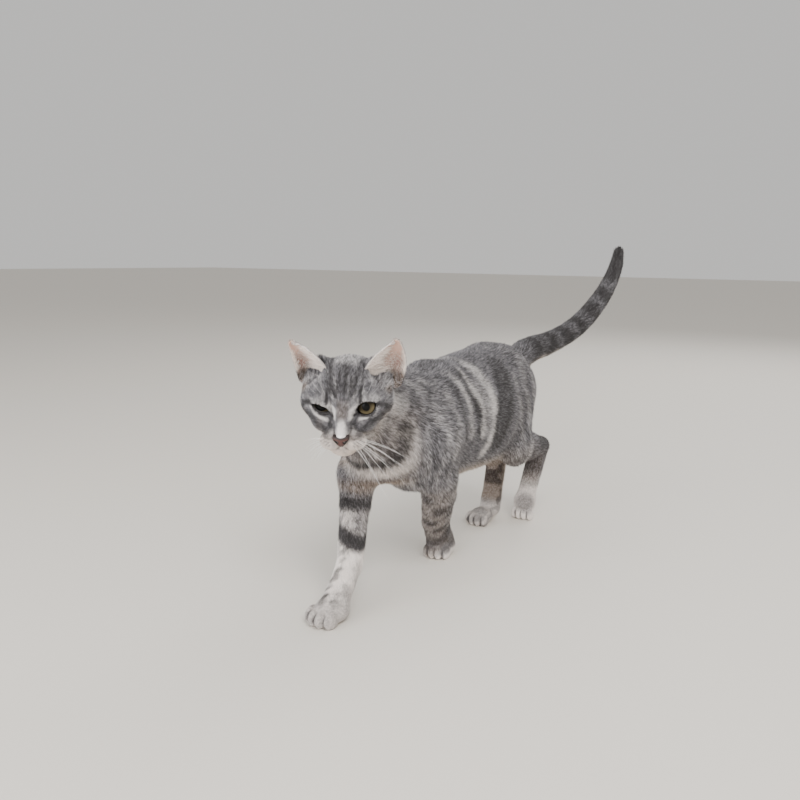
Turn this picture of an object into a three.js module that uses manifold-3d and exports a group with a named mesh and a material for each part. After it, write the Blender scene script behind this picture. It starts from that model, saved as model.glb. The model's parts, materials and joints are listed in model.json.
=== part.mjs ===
// A young shorthaired cat, life size, walking: three paws carry it and the left hind foot is leaving the floor on its toes.
// Millimetres, +Z up. The cat heads along -Y, and its left side is +X. The origin lies on the floor, centred under it.
//
// The flesh is one distance field of tapered bones, ellipsoids and a lofted trunk that melt into each other. Each named
// part of the body is that field, meshed at a cell size of its own and parted from its neighbours by a thin cut.

import * as THREE from "three";
import { mergeVertices } from "three/addons/utils/BufferGeometryUtils.js";
import Module from "manifold-3d";

const wasm = await Module();
wasm.setup();

// ---------------------------------------------------------------- driving dimensions

const GAP = 0.4; // the thin cut between two parts

// The trunk's sections from the chest to the rump: how high its back and its underside are, and half its width.
const TRUNK = [
  { y: -84, back: 213, under: 93, half: 42 },
  { y: -44, back: 222, under: 93, half: 49 },
  { y: -4, back: 226, under: 92, half: 54 },
  { y: 36, back: 229, under: 89, half: 56 },
  { y: 76, back: 231, under: 89, half: 53 },
  { y: 112, back: 227, under: 101, half: 46 },
  { y: 140, back: 220, under: 126, half: 38 },
];
const NECK = { low: [-2, -104, 181], high: [-10, -160, 199], rLow: 38, rHigh: 32 };
const RUFF = { low: [-12, -130, 141], high: [-10, -154, 168], rLow: 31, rHigh: 29 };

const HEAD_AT = [-0.2, -202.6, 201]; // midway between the eyes
const HEAD_TURN = 27; // degrees to its left
const HEAD_NOD = 14; // degrees down
const EYE_RADIUS = 10.5;
const EYE = [19, 4.2, -0.3]; // the left eye's centre, in the head's own frame
const EYE_TURN = 4; // degrees that each eye looks outwards
const LID = 1.5; // the lids' thickness over the eye
// How far each eye is open, up and down, half its width and its slant. The right eye is narrowed.
const EYE_OPENING = {
  left: { half: 9.9, high: 6.8, slant: 26 },
  right: { half: 8.8, high: 4.3, slant: 22 },
};

// Each ear in the head's own frame: the foot of its inner and outer edge, the pull of those edges and its tip.
const EARS = {
  left: {
    inner: [18, 12, 29],
    outer: [47, 28, 7],
    innerPull: [26, 16, 43],
    outerPull: [56, 33, 29],
    tip: [44, 22, 49.5],
    roundness: 3.6,
  },
  right: {
    inner: [-17, 12, 28],
    outer: [-45, 30, 9],
    innerPull: [-31, 16, 46],
    outerPull: [-49, 27, 30],
    tip: [-48.5, 22, 47.5],
    roundness: 2.8,
  },
};
const EAR_CUP = 11; // how deep the ear is hollowed
const EAR_THICKNESS = 2.4;

const TAIL_ROUTE = [
  [1, 158, 196],
  [4, 198, 211],
  [16, 252, 219],
  [30, 310, 236],
  [41, 354, 262],
  [49, 385, 290],
  [54, 405, 320],
  [55, 410, 339],
];
const TAIL_RADIUS = { root: 20, middle: 16, tip: 9.5 };

// Each leg's joints from the body down, and its thickness at them. A foreleg has shoulder, elbow, wrist and paw, a hind
// leg hip, knee, hock and paw. The paw's place is the middle of its sole, and it points `heading` degrees from -Y
// towards +X. `heel` is where the leg meets the paw, ahead of that place and up. A `raised` foot stands on its toes.
// `muscle` is the egg that the upper part of the leg is parted from the trunk by, leaning back by `lean` degrees.
const LEGS = {
  foreleg_right: {
    joints: [[-31, -116, 158], [-35, -130, 118], [-11.5, -178, 44], [-10.5, -212, 0]],
    radii: [27, 23, 13],
    heading: -8,
    paw: 1.12,
    heel: [-6, 14],
    muscle: { centre: [-40, -123, 137], radii: [32, 31, 45], lean: 18 },
  },
  foreleg_left: {
    joints: [[31, -92, 154], [27, -72, 110], [-5, -21, 43], [-5.5, -10, 0]],
    radii: [27, 20, 16],
    heading: 10,
    paw: 0.98,
    heel: [-5, 14],
    muscle: { centre: [38, -82, 135], radii: [32, 32, 45], lean: -25 },
  },
  hindleg_right: {
    joints: [[-22, 113, 172], [-33, 98, 112], [-27, 188, 65], [-15, 117, 0]],
    radii: [30, 26, 14],
    heading: -4,
    paw: 1,
    heel: [-24, 15],
    muscle: { centre: [-52, 116, 137], radii: [44, 43, 56], lean: 12 },
  },
  hindleg_left: {
    joints: [[22, 113, 172], [35, 98, 110], [33, 185, 93], [23, 163, 0]],
    radii: [30, 25, 13],
    heading: 0,
    paw: 0.96,
    heel: [-5, 24],
    raised: true,
    muscle: { centre: [52, 116, 137], radii: [44, 43, 56], lean: 12 },
  },
};

// ---------------------------------------------------------------- distance fields

const clamp01 = (t) => Math.min(1, Math.max(0, t));
const radians = THREE.MathUtils.degToRad;
const mix = (a, b, t) => a.map((v, i) => v + (b[i] - v) * t);
const SIDES = { left: 1, right: -1 };

// Smooth union of two distances, with a fillet of about k.
function melt(a, b, k) {
  if (!k) return Math.min(a, b);
  const h = Math.max(k - Math.abs(a - b), 0) / k;
  return Math.min(a, b) - (h * h * k) / 4;
}

// A tapered capsule from a to b. `wide` stretches its section along X.
function bone(a, b, ra, rb, wide = 1) {
  const d = [(b[0] - a[0]) / wide, b[1] - a[1], b[2] - a[2]];
  const dd = d[0] * d[0] + d[1] * d[1] + d[2] * d[2];
  return (x, y, z) => {
    const px = (x - a[0]) / wide;
    const py = y - a[1];
    const pz = z - a[2];
    const t = clamp01((px * d[0] + py * d[1] + pz * d[2]) / dd);
    const away = Math.hypot(px - t * d[0], py - t * d[1], pz - t * d[2]);
    return (away - (ra + (rb - ra) * t)) * Math.min(1, wide);
  };
}

function ellipsoid(c, r) {
  return (x, y, z) => {
    const px = (x - c[0]) / r[0];
    const py = (y - c[1]) / r[1];
    const pz = (z - c[2]) / r[2];
    const k0 = Math.hypot(px, py, pz);
    const k1 = Math.hypot(px / r[0], py / r[1], pz / r[2]);
    return k1 < 1e-9 ? -Math.min(...r) : (k0 * (k0 - 1)) / k1;
  };
}

// The value at t of a smooth curve through evenly or unevenly spaced stations, held flat past its ends.
function through(stations, key, t) {
  const last = stations.length - 1;
  if (t <= stations[0].y) return stations[0][key];
  if (t >= stations[last].y) return stations[last][key];
  const i = stations.findIndex((s, n) => t >= s.y && t < stations[n + 1].y);
  const [a, b] = [stations[i], stations[i + 1]];
  const slope = (m) => {
    const [p, q] = [stations[Math.max(m - 1, 0)], stations[Math.min(m + 1, last)]];
    return (q[key] - p[key]) / (q.y - p.y);
  };
  const span = b.y - a.y;
  const u = (t - a.y) / span;
  const [uu, uuu] = [u * u, u * u * u];
  return (
    (2 * uuu - 3 * uu + 1) * a[key] +
    (uuu - 2 * uu + u) * span * slope(i) +
    (3 * uu - 2 * uuu) * b[key] +
    (uuu - uu) * span * slope(i + 1)
  );
}

// The forms of a list [field, fillet] melted together in order.
function meltAll(forms) {
  return (x, y, z) => {
    let d = forms[0][0](x, y, z);
    for (let i = 1; i < forms.length; i++) d = melt(d, forms[i][0](x, y, z), forms[i][1]);
    return d;
  };
}

// ---------------------------------------------------------------- the trunk and the tail

function trunkLoft(x, y, z) {
  const back = through(TRUNK, "back", y);
  const under = through(TRUNK, "under", y);
  const half = through(TRUNK, "half", y);
  const high = (back - under) / 2;
  const px = x / half;
  const pz = (z - (back + under) / 2) / high;
  const k0 = Math.hypot(px, pz);
  const round = (k0 * (k0 - 1)) / Math.max(Math.hypot(px / half, pz / high), 1e-6);
  return Math.max(round, TRUNK[0].y - y, y - TRUNK[TRUNK.length - 1].y);
}

function trunkForms() {
  const forms = [
    [trunkLoft, 0],
    [ellipsoid([0, -88, 153], [42, 40, 60]), 10], // chest
    [ellipsoid([0, 130, 177], [33, 40, 41]), 10], // rump
  ];
  for (const side of Object.values(SIDES)) {
    forms.push([bone([side * 15, -46, 207], [side * 30, -84, 158], 13, 25), 24]); // shoulder blade
    forms.push([bone([side * 18, 102, 206], [side * 15, 129, 172], 20, 21), 24]); // hip
  }
  return forms;
}

const tailCurve = new THREE.CatmullRomCurve3(TAIL_ROUTE.map((p) => new THREE.Vector3(...p)));

function tailRadius(t) {
  const { root, middle, tip } = TAIL_RADIUS;
  if (t < 0.4) return THREE.MathUtils.lerp(root, middle, THREE.MathUtils.smoothstep(t, 0, 0.4));
  return THREE.MathUtils.lerp(middle, tip, ((t - 0.4) / 0.6) ** 1.6);
}

function tailForms(steps = 16) {
  const forms = [];
  for (let i = 0; i < steps; i++) {
    const a = tailCurve.getPoint(i / steps).toArray();
    const b = tailCurve.getPoint((i + 1) / steps).toArray();
    forms.push([bone(a, b, tailRadius(i / steps), tailRadius((i + 1) / steps)), 0]);
  }
  return forms;
}

// ---------------------------------------------------------------- the legs

// A point of a paw, from the middle of its sole: to its left, ahead and up.
function onPaw(leg, left, ahead, up) {
  const [x, y] = leg.joints[3];
  const turn = radians(leg.heading);
  return [
    x + left * Math.cos(turn) + ahead * Math.sin(turn),
    y - ahead * Math.cos(turn) + left * Math.sin(turn),
    up,
  ];
}

// A paw: its pad and four toes in an arc. A raised foot stands on the ends of its toes.
function pawForms(leg) {
  const size = leg.paw;
  const pad = leg.raised
    ? [ellipsoid(onPaw(leg, 0, -4, 19), [12.5 * size, 11 * size, 15]), 10]
    : [ellipsoid(onPaw(leg, 0, -2, 9), [14 * size, 17 * size, 11]), 8];
  const forms = [pad];
  for (const step of [-1.5, -0.5, 0.5, 1.5]) {
    const ahead = leg.raised ? 5 - Math.abs(step) * 2 : 13.5 - Math.abs(step) * 3.2;
    const toe = onPaw(leg, step * 7 * size, ahead * size, 7.4);
    const long = leg.raised ? 7.5 : 9;
    forms.push([ellipsoid(toe, [4.7 * size, long * size, 8.4]), 3]);
  }
  return forms;
}

function legForms(name) {
  const leg = LEGS[name];
  const [top, middle, low] = leg.joints;
  const [rTop, rMiddle, rLow] = leg.radii;
  const heel = onPaw(leg, 0, ...leg.heel);
  const forms = [];
  if (name.startsWith("foreleg")) {
    const muscle = mix(middle, low, 0.35);
    forms.push([bone(top, middle, rTop, rMiddle, 0.8), 0]);
    forms.push([bone(middle, muscle, rMiddle - 1, rLow + 4), 8]);
    forms.push([bone(muscle, low, rLow + 4, rLow), 3]);
  } else {
    const calf = mix(middle, low, 0.5);
    const thighFront = [middle[0] * 0.86, middle[1] - 4, middle[2] + 26];
    forms.push([bone(top, middle, rTop, rMiddle, 0.8), 0]);
    forms.push([bone(top, thighFront, 30, 25, 0.8), 16]);
    forms.push([bone(middle, calf, rMiddle - 2, 19, 0.84), 10]);
    forms.push([bone(calf, low, 18.5, rLow), 6]);
  }
  forms.push([bone(low, heel, rLow, rLow - 0.5), 3]);
  for (const form of pawForms(leg)) forms.push(form);
  return forms;
}

// ---------------------------------------------------------------- the head

// The head's own frame lies midway between the eyes and faces -Y. headMatrix turns it into place.
const headMatrix = new THREE.Matrix4()
  .makeRotationFromEuler(new THREE.Euler(radians(HEAD_NOD), 0, radians(HEAD_TURN), "ZXY"))
  .setPosition(...HEAD_AT);
const headInverse = headMatrix.clone().invert();

function headForms() {
  const forms = [
    [ellipsoid([0, 31, 4], [32, 36, 29.5]), 0], // skull
    [ellipsoid([0, 12, 13], [24, 20, 19]), 12], // forehead
    [bone([0, -4, 4], [0, -21, -15], 9.5, 6.5), 9], // bridge of the nose
    [ellipsoid([0, 13, -22], [20, 24, 15]), 12], // throat
    [ellipsoid([0, -17, -33.5], [9, 8, 6.8]), 5], // chin
  ];
  for (const side of Object.values(SIDES)) {
    forms.push([ellipsoid([side * EYE[0], EYE[1], EYE[2]], Array(3).fill(EYE_RADIUS + LID)), 7]); // lids
    forms.push([ellipsoid([side * 23.5, 16, -2], [19, 22, 18]), 14]); // cheek
    forms.push([ellipsoid([side * 17.5, -2, -14.5], [11.6, 14, 9]), 9]); // cheekbone
    forms.push([bone([side * 6, -12, -30.5], [side * 20, 22, -20], 7.5, 12), 9]); // jaw
    forms.push([ellipsoid([side * 10.2, -16.5, -26], [10.6, 10.8, 8.4]), 4]); // whisker pad
    forms.push([ellipsoid([side * 27.5, 25, 20], [14.5, 13, 17]), 12]); // foot of the ear
  }
  forms.push([ellipsoid([0, -27, -19.5], [6, 5, 4.8]), 3]); // nose
  return forms;
}

const headField = meltAll(headForms());

function headInPlace(x, y, z) {
  const e = headInverse.elements;
  return headField(
    e[0] * x + e[4] * y + e[8] * z + e[12],
    e[1] * x + e[5] * y + e[9] * z + e[13],
    e[2] * x + e[6] * y + e[10] * z + e[14],
  );
}

// ---------------------------------------------------------------- the whole body as one field

const trunkField = meltAll(trunkForms());
const neckField = bone(NECK.low, NECK.high, NECK.rLow, NECK.rHigh, 0.96);
const ruffField = bone(RUFF.low, RUFF.high, RUFF.rLow, RUFF.rHigh);
const tailField = meltAll(tailForms());
const legFields = Object.keys(LEGS).map((name) => meltAll(legForms(name)));

function body(x, y, z) {
  let d = melt(trunkField(x, y, z), neckField(x, y, z), 24);
  d = melt(d, ruffField(x, y, z), 22);
  d = melt(d, headInPlace(x, y, z), 14);
  d = melt(d, tailField(x, y, z), 12);
  for (const leg of legFields) d = melt(d, leg(x, y, z), 12);
  return d;
}

// ---------------------------------------------------------------- meshing a field

function gradient(field, [x, y, z], h = 0.2) {
  return [
    (field(x + h, y, z) - field(x - h, y, z)) / (2 * h),
    (field(x, y + h, z) - field(x, y - h, z)) / (2 * h),
    (field(x, y, z + h) - field(x, y, z - h)) / (2 * h),
  ];
}

// Moves p towards the field's surface, by at most `reach`.
function drawnOnto(field, p, reach) {
  const g = gradient(field, p);
  const steep = Math.max(g[0] * g[0] + g[1] * g[1] + g[2] * g[2], 0.2);
  const d = THREE.MathUtils.clamp(field(...p), -reach, reach);
  return p.map((v, m) => v - (g[m] * d) / steep);
}

// Surface nets: one vertex in each cell for each sheet of surface that crosses it, drawn onto the surface, and one quad
// round each grid edge that the surface crosses. Where the inside touches itself across a face, it is kept apart.
const CORNERS = [0, 1, 2, 3, 4, 5, 6, 7];
const EDGES = [0, 1, 2].flatMap((m) => CORNERS.filter((c) => !(c & (1 << m))).map((c) => [c, c | (1 << m), m]));
const FACES = [0, 1, 2].flatMap((m) => [0, 1].map((s) => CORNERS.filter((c) => ((c >> m) & 1) === s)));

// The sheets of surface in a cell, each as the list of the cell's edges that it crosses.
function sheetsOf(inside) {
  const crossed = EDGES.map(([a, b], e) => e).filter((e) => inside[EDGES[e][0]] !== inside[EDGES[e][1]]);
  const group = EDGES.map((edge, e) => e);
  const rootOf = (e) => (group[e] === e ? e : rootOf(group[e]));
  const join = (list) => list.forEach((e) => (group[rootOf(e)] = rootOf(list[0])));
  for (const face of FACES) {
    const onFace = crossed.filter((e) => face.includes(EDGES[e][0]) && face.includes(EDGES[e][1]));
    if (onFace.length < 4) join(onFace);
    else for (const c of face.filter((v) => inside[v])) join(onFace.filter((e) => EDGES[e].slice(0, 2).includes(c)));
  }
  const sheets = new Map();
  for (const e of crossed) sheets.set(rootOf(e), [...(sheets.get(rootOf(e)) ?? []), e]);
  return [...sheets.values()];
}

function surfaceOf(field, low, high, cells) {
  const n = low.map((v, m) => Math.ceil((high[m] - v) / cells[m]) + 1);
  const finest = Math.min(...cells);
  const at = (i, j, k) => (k * n[1] + j) * n[0] + i;
  const value = new Float64Array(n[0] * n[1] * n[2]);
  for (let k = 0; k < n[2]; k++)
    for (let j = 0; j < n[1]; j++)
      for (let i = 0; i < n[0]; i++)
        value[at(i, j, k)] = field(low[0] + i * cells[0], low[1] + j * cells[1], low[2] + k * cells[2]);

  const points = [];
  const vertexOf = new Map();
  for (let k = 0; k + 1 < n[2]; k++)
    for (let j = 0; j + 1 < n[1]; j++)
      for (let i = 0; i + 1 < n[0]; i++) {
        const corner = (c) => [i + (c & 1), j + ((c >> 1) & 1), k + (c >> 2)];
        const values = CORNERS.map((c) => value[at(...corner(c))]);
        for (const sheet of sheetsOf(values.map((v) => v < 0))) {
          const sum = [0, 0, 0];
          for (const e of sheet) {
            const [a, b] = EDGES[e];
            const crossing = mix(corner(a), corner(b), values[a] / (values[a] - values[b]));
            crossing.forEach((v, m) => (sum[m] += low[m] + v * cells[m]));
            vertexOf.set(at(i, j, k) * EDGES.length + e, points.length / 3);
          }
          const p = sum.map((v) => v / sheet.length);
          points.push(...drawnOnto(field, drawnOnto(field, p, 0.3 * finest), 0.2 * finest));
        }
      }

  const index = [];
  const span = (u, v) => Math.hypot(...[0, 1, 2].map((m) => points[3 * u + m] - points[3 * v + m]));
  const quad = (a, b, c, d) => {
    if (span(a, c) <= span(b, d)) index.push(a, b, c, a, c, d);
    else index.push(a, b, d, b, c, d);
  };
  for (let k = 1; k + 1 < n[2]; k++)
    for (let j = 1; j + 1 < n[1]; j++)
      for (let i = 1; i + 1 < n[0]; i++)
        for (let m = 0; m < 3; m++) {
          const inside = value[at(i, j, k)] < 0;
          if (inside === value[at(i + (m === 0), j + (m === 1), k + (m === 2))] < 0) continue;
          const [u, v] = [(m + 1) % 3, (m + 2) % 3];
          const ring = [[1, 1], [0, 1], [0, 0], [1, 0]].map(([du, dv]) => {
            const cellAt = [i, j, k];
            cellAt[u] -= du;
            cellAt[v] -= dv;
            const c = (du << u) | (dv << v);
            return vertexOf.get(at(...cellAt) * EDGES.length + EDGES.findIndex((e) => e[0] === c && e[2] === m));
          });
          if (!inside) ring.reverse();
          quad(...ring);
        }
  return new THREE.BufferGeometry()
    .setAttribute("position", new THREE.Float32BufferAttribute(points, 3))
    .setIndex(index);
}

// ---------------------------------------------------------------- solids for cutting and joining

function solidOf(geometry) {
  return new wasm.Manifold(
    new wasm.Mesh({
      numProp: 3,
      vertProperties: Float32Array.from(geometry.attributes.position.array),
      triVerts: Uint32Array.from(geometry.index.array),
    }),
  );
}

// The same for a geometry whose seams are open.
function weldedSolid(geometry) {
  const bare = new THREE.BufferGeometry()
    .setAttribute("position", geometry.getAttribute("position"))
    .setIndex(geometry.index);
  return solidOf(mergeVertices(bare, 1e-4));
}

function geometryOf(solid) {
  const mesh = solid.getMesh();
  const points = new Float32Array(mesh.numVert * 3);
  for (let i = 0; i < mesh.numVert; i++)
    points.set(mesh.vertProperties.subarray(i * mesh.numProp, i * mesh.numProp + 3), i * 3);
  const geometry = new THREE.BufferGeometry()
    .setAttribute("position", new THREE.BufferAttribute(points, 3))
    .setIndex(new THREE.BufferAttribute(Uint32Array.from(mesh.triVerts), 1));
  geometry.computeVertexNormals();
  return geometry;
}

const upTo = (direction) =>
  new THREE.Quaternion().setFromUnitVectors(new THREE.Vector3(0, 0, 1), direction.clone().normalize());

// Everything past a plane, as a large block whose face lies on the plane, moved back by `grow`.
function beyond({ point, normal }, grow = 0) {
  const size = 500;
  const block = new THREE.BoxGeometry(size, size, size);
  block.translate(0, 0, size / 2 - grow);
  block.applyQuaternion(upTo(new THREE.Vector3(...normal)));
  block.translate(...point);
  return weldedSolid(block);
}

// A block round a limb: its near face lies at `from`, and it runs `long` towards `to` with a square section.
function sleeve(from, to, half, long, grow = 0) {
  const block = new THREE.BoxGeometry(2 * (half + grow), 2 * (half + grow), long + 2 * grow);
  block.translate(0, 0, long / 2);
  block.applyQuaternion(upTo(new THREE.Vector3(...to).sub(new THREE.Vector3(...from))));
  block.translate(...from);
  return weldedSolid(block);
}

// The egg round the upper part of a leg.
function egg({ centre, radii, lean }, grow = 0) {
  const ball = new THREE.SphereGeometry(1, 12, 8);
  ball.scale(...radii.map((r) => r + grow));
  ball.rotateX(radians(-lean));
  ball.translate(...centre);
  return weldedSolid(ball);
}

const largest = (solid) => solid.decompose().sort((a, b) => b.volume() - a.volume())[0];

// A field as a solid inside the box from low to high.
function fieldSolid(field, low, high, cells) {
  const margin = (v, m) => Math.max(low[m] + 1.3 * cells[m] - v, v - high[m] + 1.7 * cells[m]);
  const held = (x, y, z) => Math.max(field(x, y, z), margin(x, 0), margin(y, 1), margin(z, 2));
  return solidOf(surfaceOf(held, low, high, cells));
}

// The body inside `region`, meshed at `cell`, which is one length or one for each axis.
function fleshIn(region, cell) {
  const cells = [cell].flat().length === 3 ? cell : [cell, cell, cell];
  const box = region.boundingBox();
  const whole = wholeBox();
  const low = [0, 1, 2].map((m) => Math.max(box.min[m], whole.min[m]) - 2 * cells[m]);
  const high = [0, 1, 2].map((m) => Math.min(box.max[m], whole.max[m]) + 2 * cells[m]);
  return largest(fieldSolid(body, low, high, cells).intersect(region).trimByPlane([0, 0, 1], 0));
}

// A box that holds the whole cat and reaches a little under the floor.
const wholeBox = () => ({ min: [-80, -250, -10], max: [90, 430, 358] });

// ---------------------------------------------------------------- the regions of the parts

const neckToHead = { point: [-11, -164, 190], normal: [0.3, -0.92, 0.1] };
const neckToTrunk = { point: [0, -114, 176], normal: [0, -0.88, 0.47] };

// A plane across the tail, facing its tip.
function acrossTail(t) {
  return { point: tailCurve.getPoint(t).toArray(), normal: tailCurve.getTangent(t).toArray() };
}

// The cutters of one leg from the body down, each as a function of how far it is grown.
function legCutters(name) {
  const leg = LEGS[name];
  const [, middle, low] = leg.joints;
  const heel = onPaw(leg, 0, ...leg.heel);
  if (name.startsWith("foreleg")) {
    const underElbow = mix(middle, low, 0.3);
    const overPaw = mix(heel, low, 0.35);
    return {
      shoulder: (grow) => egg(leg.muscle, grow),
      forearm: (grow) => sleeve(underElbow, low, 24, 150, grow),
      paw: (grow) => sleeve(overPaw, [overPaw[0], overPaw[1], 0], 38, 50, grow),
    };
  }
  const underKnee = mix(middle, low, 0.32);
  const underHock = mix(low, heel, 0.16);
  const overPaw = leg.raised ? onPaw(leg, 0, -4, 30) : onPaw(leg, 0, -17, 24);
  return {
    thigh: (grow) => egg(leg.muscle, grow),
    shank: (grow) => sleeve(underKnee, low, 24, 110, grow),
    foot: (grow) => sleeve(underHock, heel, 26, 120, grow),
    paw: (grow) => sleeve(overPaw, onPaw(leg, 0, leg.raised ? 0 : 4, 0), 34, 60, grow),
  };
}

const cellOf = { shoulder: 15.5, forearm: 11.5, paw: 6.6, thigh: 17, shank: 12.5, foot: 10 };

// Each region is its cutter less the next ones down, grown by the gap.
function legRegions(name) {
  const cutters = legCutters(name);
  const parts = Object.keys(cutters);
  const regions = {};
  parts.forEach((part, i) => {
    let region = cutters[part](0);
    for (const next of parts.slice(i + 1)) region = region.subtract(cutters[next](GAP));
    regions[`${name}_${part}`] = { region, cell: cellOf[part] };
  });
  return regions;
}

function withoutLegs(solid) {
  for (const name of Object.keys(LEGS))
    for (const cutter of Object.values(legCutters(name))) solid = solid.subtract(cutter(GAP));
  return solid;
}

function bodyRegions() {
  const { min, max } = wholeBox();
  const all = weldedSolid(
    new THREE.BoxGeometry(...max.map((v, m) => v - min[m])).translate(...max.map((v, m) => (v + min[m]) / 2)),
  );
  const [root, first, second] = [0.12, 0.42, 0.72].map(acrossTail);
  return {
    trunk: {
      region: withoutLegs(all.subtract(beyond(neckToTrunk, GAP)).subtract(beyond(root, GAP))),
      cell: [19, 26, 18],
    },
    neck: {
      region: withoutLegs(all.intersect(beyond(neckToTrunk)).subtract(beyond(neckToHead, GAP))),
      cell: 13.5,
    },
    tail_base: { region: all.intersect(beyond(root)).subtract(beyond(first, GAP)), cell: 12.5 },
    tail_middle: { region: all.intersect(beyond(first)).subtract(beyond(second, GAP)), cell: 12 },
    tail_tip: { region: all.intersect(beyond(second)), cell: 10 },
  };
}

// ---------------------------------------------------------------- the head's pieces

const eyeCentre = (side) => [SIDES[side] * EYE[0], EYE[1], EYE[2]];

function eyeball(side, grow = 0) {
  return new THREE.SphereGeometry(EYE_RADIUS + grow, 10, 8)
    .rotateX(Math.PI / 2)
    .translate(...eyeCentre(side))
    .applyMatrix4(headMatrix);
}

// The opening between the lids, a slanting egg in front of the eye.
function eyeOpening(side) {
  const { half, high, slant } = EYE_OPENING[side];
  return new THREE.SphereGeometry(1, 12, 6)
    .scale(half, 9, high)
    .rotateY(radians(-slant * SIDES[side]))
    .translate(0, -EYE_RADIUS - 1, 0)
    .rotateZ(radians(EYE_TURN * SIDES[side]))
    .translate(...eyeCentre(side))
    .applyMatrix4(headMatrix);
}

// The tip of the nose, bare skin.
function noseRegion(grow = 0) {
  const region = new THREE.SphereGeometry(1, 12, 8)
    .scale(7.2 + grow, 5 + grow, 5.5 + grow)
    .translate(0, -31, -20)
    .applyMatrix4(headMatrix);
  return weldedSolid(region);
}

// A point on the quadratic curve from a through the pull of b to c.
function bend(a, b, c, t) {
  return new THREE.QuadraticBezierCurve3(
    new THREE.Vector3(...a),
    new THREE.Vector3(...b),
    new THREE.Vector3(...c),
  ).getPoint(t);
}

// An ear: a cupped leaf between its inner and outer edge, hollowed towards the back, with a closed rim. It starts a
// little inside the head.
function earGeometry({ inner, outer, innerPull, outerPull, tip, roundness }, rows = 7, columns = 6) {
  const side = Math.sign(tip[0]);
  const apart = side * roundness;
  const face = (u, v) => {
    if (v < 0) return face(u, 0).lerp(new THREE.Vector3(side * (24 + 6 * u), 22, 10 - 6 * u), -v);
    const a = bend(inner, innerPull, [tip[0] - apart, tip[1], tip[2]], v);
    const b = bend(outer, outerPull, [tip[0] + apart, tip[1], tip[2]], v);
    const hollow = EAR_CUP * (1 - u * u) * Math.max(1 - v, 0) ** 0.7;
    const cap = 0.9 * roundness * (1 - u * u) * v ** 8;
    return a.lerp(b, (1 + u) / 2).add(new THREE.Vector3(0, hollow, cap - 0.1 * hollow));
  };
  const points = [];
  const index = [];
  const behind = (u, v) => {
    const e = 0.01;
    const du = face(u + e, v).sub(face(u - e, v));
    const dv = face(u, Math.min(v + e, 1)).sub(face(u, v - e));
    const normal = du.cross(dv).normalize();
    if (normal.y < 0) normal.negate();
    const taper = EAR_THICKNESS * Math.min(1, 1.3 * Math.sqrt(1 - u * u) + 0.45);
    return face(u, v).addScaledVector(normal, taper);
  };
  const height = (j) => (j === 0 ? -1 : (j - 1) / (rows - 1));
  for (const sheet of [face, behind])
    for (let j = 0; j <= rows; j++)
      for (let i = 0; i <= columns; i++)
        points.push(...sheet((2 * i) / columns - 1, height(j)).toArray());
  const at = (sheet, i, j) => (sheet * (rows + 1) + j) * (columns + 1) + i;
  const quad = (a, b, c, d) => index.push(a, b, c, a, c, d);
  for (let j = 0; j < rows; j++)
    for (let i = 0; i < columns; i++) {
      quad(at(0, i, j), at(0, i + 1, j), at(0, i + 1, j + 1), at(0, i, j + 1));
      quad(at(1, i, j), at(1, i, j + 1), at(1, i + 1, j + 1), at(1, i + 1, j));
    }
  for (let i = 0; i < columns; i++) {
    quad(at(0, i + 1, 0), at(0, i, 0), at(1, i, 0), at(1, i + 1, 0));
    quad(at(0, i, rows), at(0, i + 1, rows), at(1, i + 1, rows), at(1, i, rows));
  }
  for (let j = 0; j < rows; j++) {
    quad(at(0, 0, j), at(0, 0, j + 1), at(1, 0, j + 1), at(1, 0, j));
    quad(at(0, columns, j + 1), at(0, columns, j), at(1, columns, j), at(1, columns, j + 1));
  }
  if (side < 0) index.reverse();
  return new THREE.BufferGeometry()
    .setAttribute("position", new THREE.Float32BufferAttribute(points, 3))
    .setIndex(index)
    .applyMatrix4(headMatrix);
}

function headPieces() {
  const { min, max } = wholeBox();
  const all = weldedSolid(
    new THREE.BoxGeometry(...max.map((v, m) => v - min[m])).translate(...max.map((v, m) => (v + min[m]) / 2)),
  );
  const region = all.intersect(beyond(neckToHead));
  const whole = fleshIn(region.intersect(headBlock()), 7.6);
  let head = whole.subtract(noseRegion(GAP));
  const pieces = { nose: largest(whole.intersect(noseRegion())) };
  for (const side of Object.keys(SIDES)) {
    pieces[`eye_${side}`] = weldedSolid(eyeball(side));
    head = head.subtract(weldedSolid(eyeball(side, GAP))).subtract(weldedSolid(eyeOpening(side)));
    pieces[`ear_${side}`] = largest(weldedSolid(earGeometry(EARS[side])).subtract(grownSkull()));
  }
  pieces.head = largest(head);
  return pieces;
}

// A block round the head, clear of the paw in front of it.
function headBlock() {
  return weldedSolid(new THREE.BoxGeometry(150, 130, 130).translate(0, 25, 12).applyMatrix4(headMatrix));
}

// The head's upper surface, grown by the gap, which the feet of the ears stop at.
function grownSkull() {
  const grown = (x, y, z) => body(x, y, z) - GAP - 0.3;
  return fieldSolid(grown, [-90, -270, 100], [90, -100, 285], [6.5, 6.5, 6.5]);
}

// ---------------------------------------------------------------- the cat

const COLOURS = {
  coat: { color: 0x8b8683, roughness: 0.9 },
  pale: { color: 0xb9b2ab, roughness: 0.9 },
  dark: { color: 0x66625f, roughness: 0.9 },
  ear: { color: 0xc49a8c, roughness: 0.8 },
  nose: { color: 0x8c5248, roughness: 0.5 },
  eye: { color: 0x7c7a45, roughness: 0.1 },
};

function finishOf(name) {
  if (name.startsWith("eye")) return COLOURS.eye;
  if (name.startsWith("ear")) return COLOURS.ear;
  if (name.startsWith("nose")) return COLOURS.nose;
  if (name.startsWith("tail")) return COLOURS.dark;
  if (name.endsWith("paw")) return COLOURS.pale;
  return COLOURS.coat;
}

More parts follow.
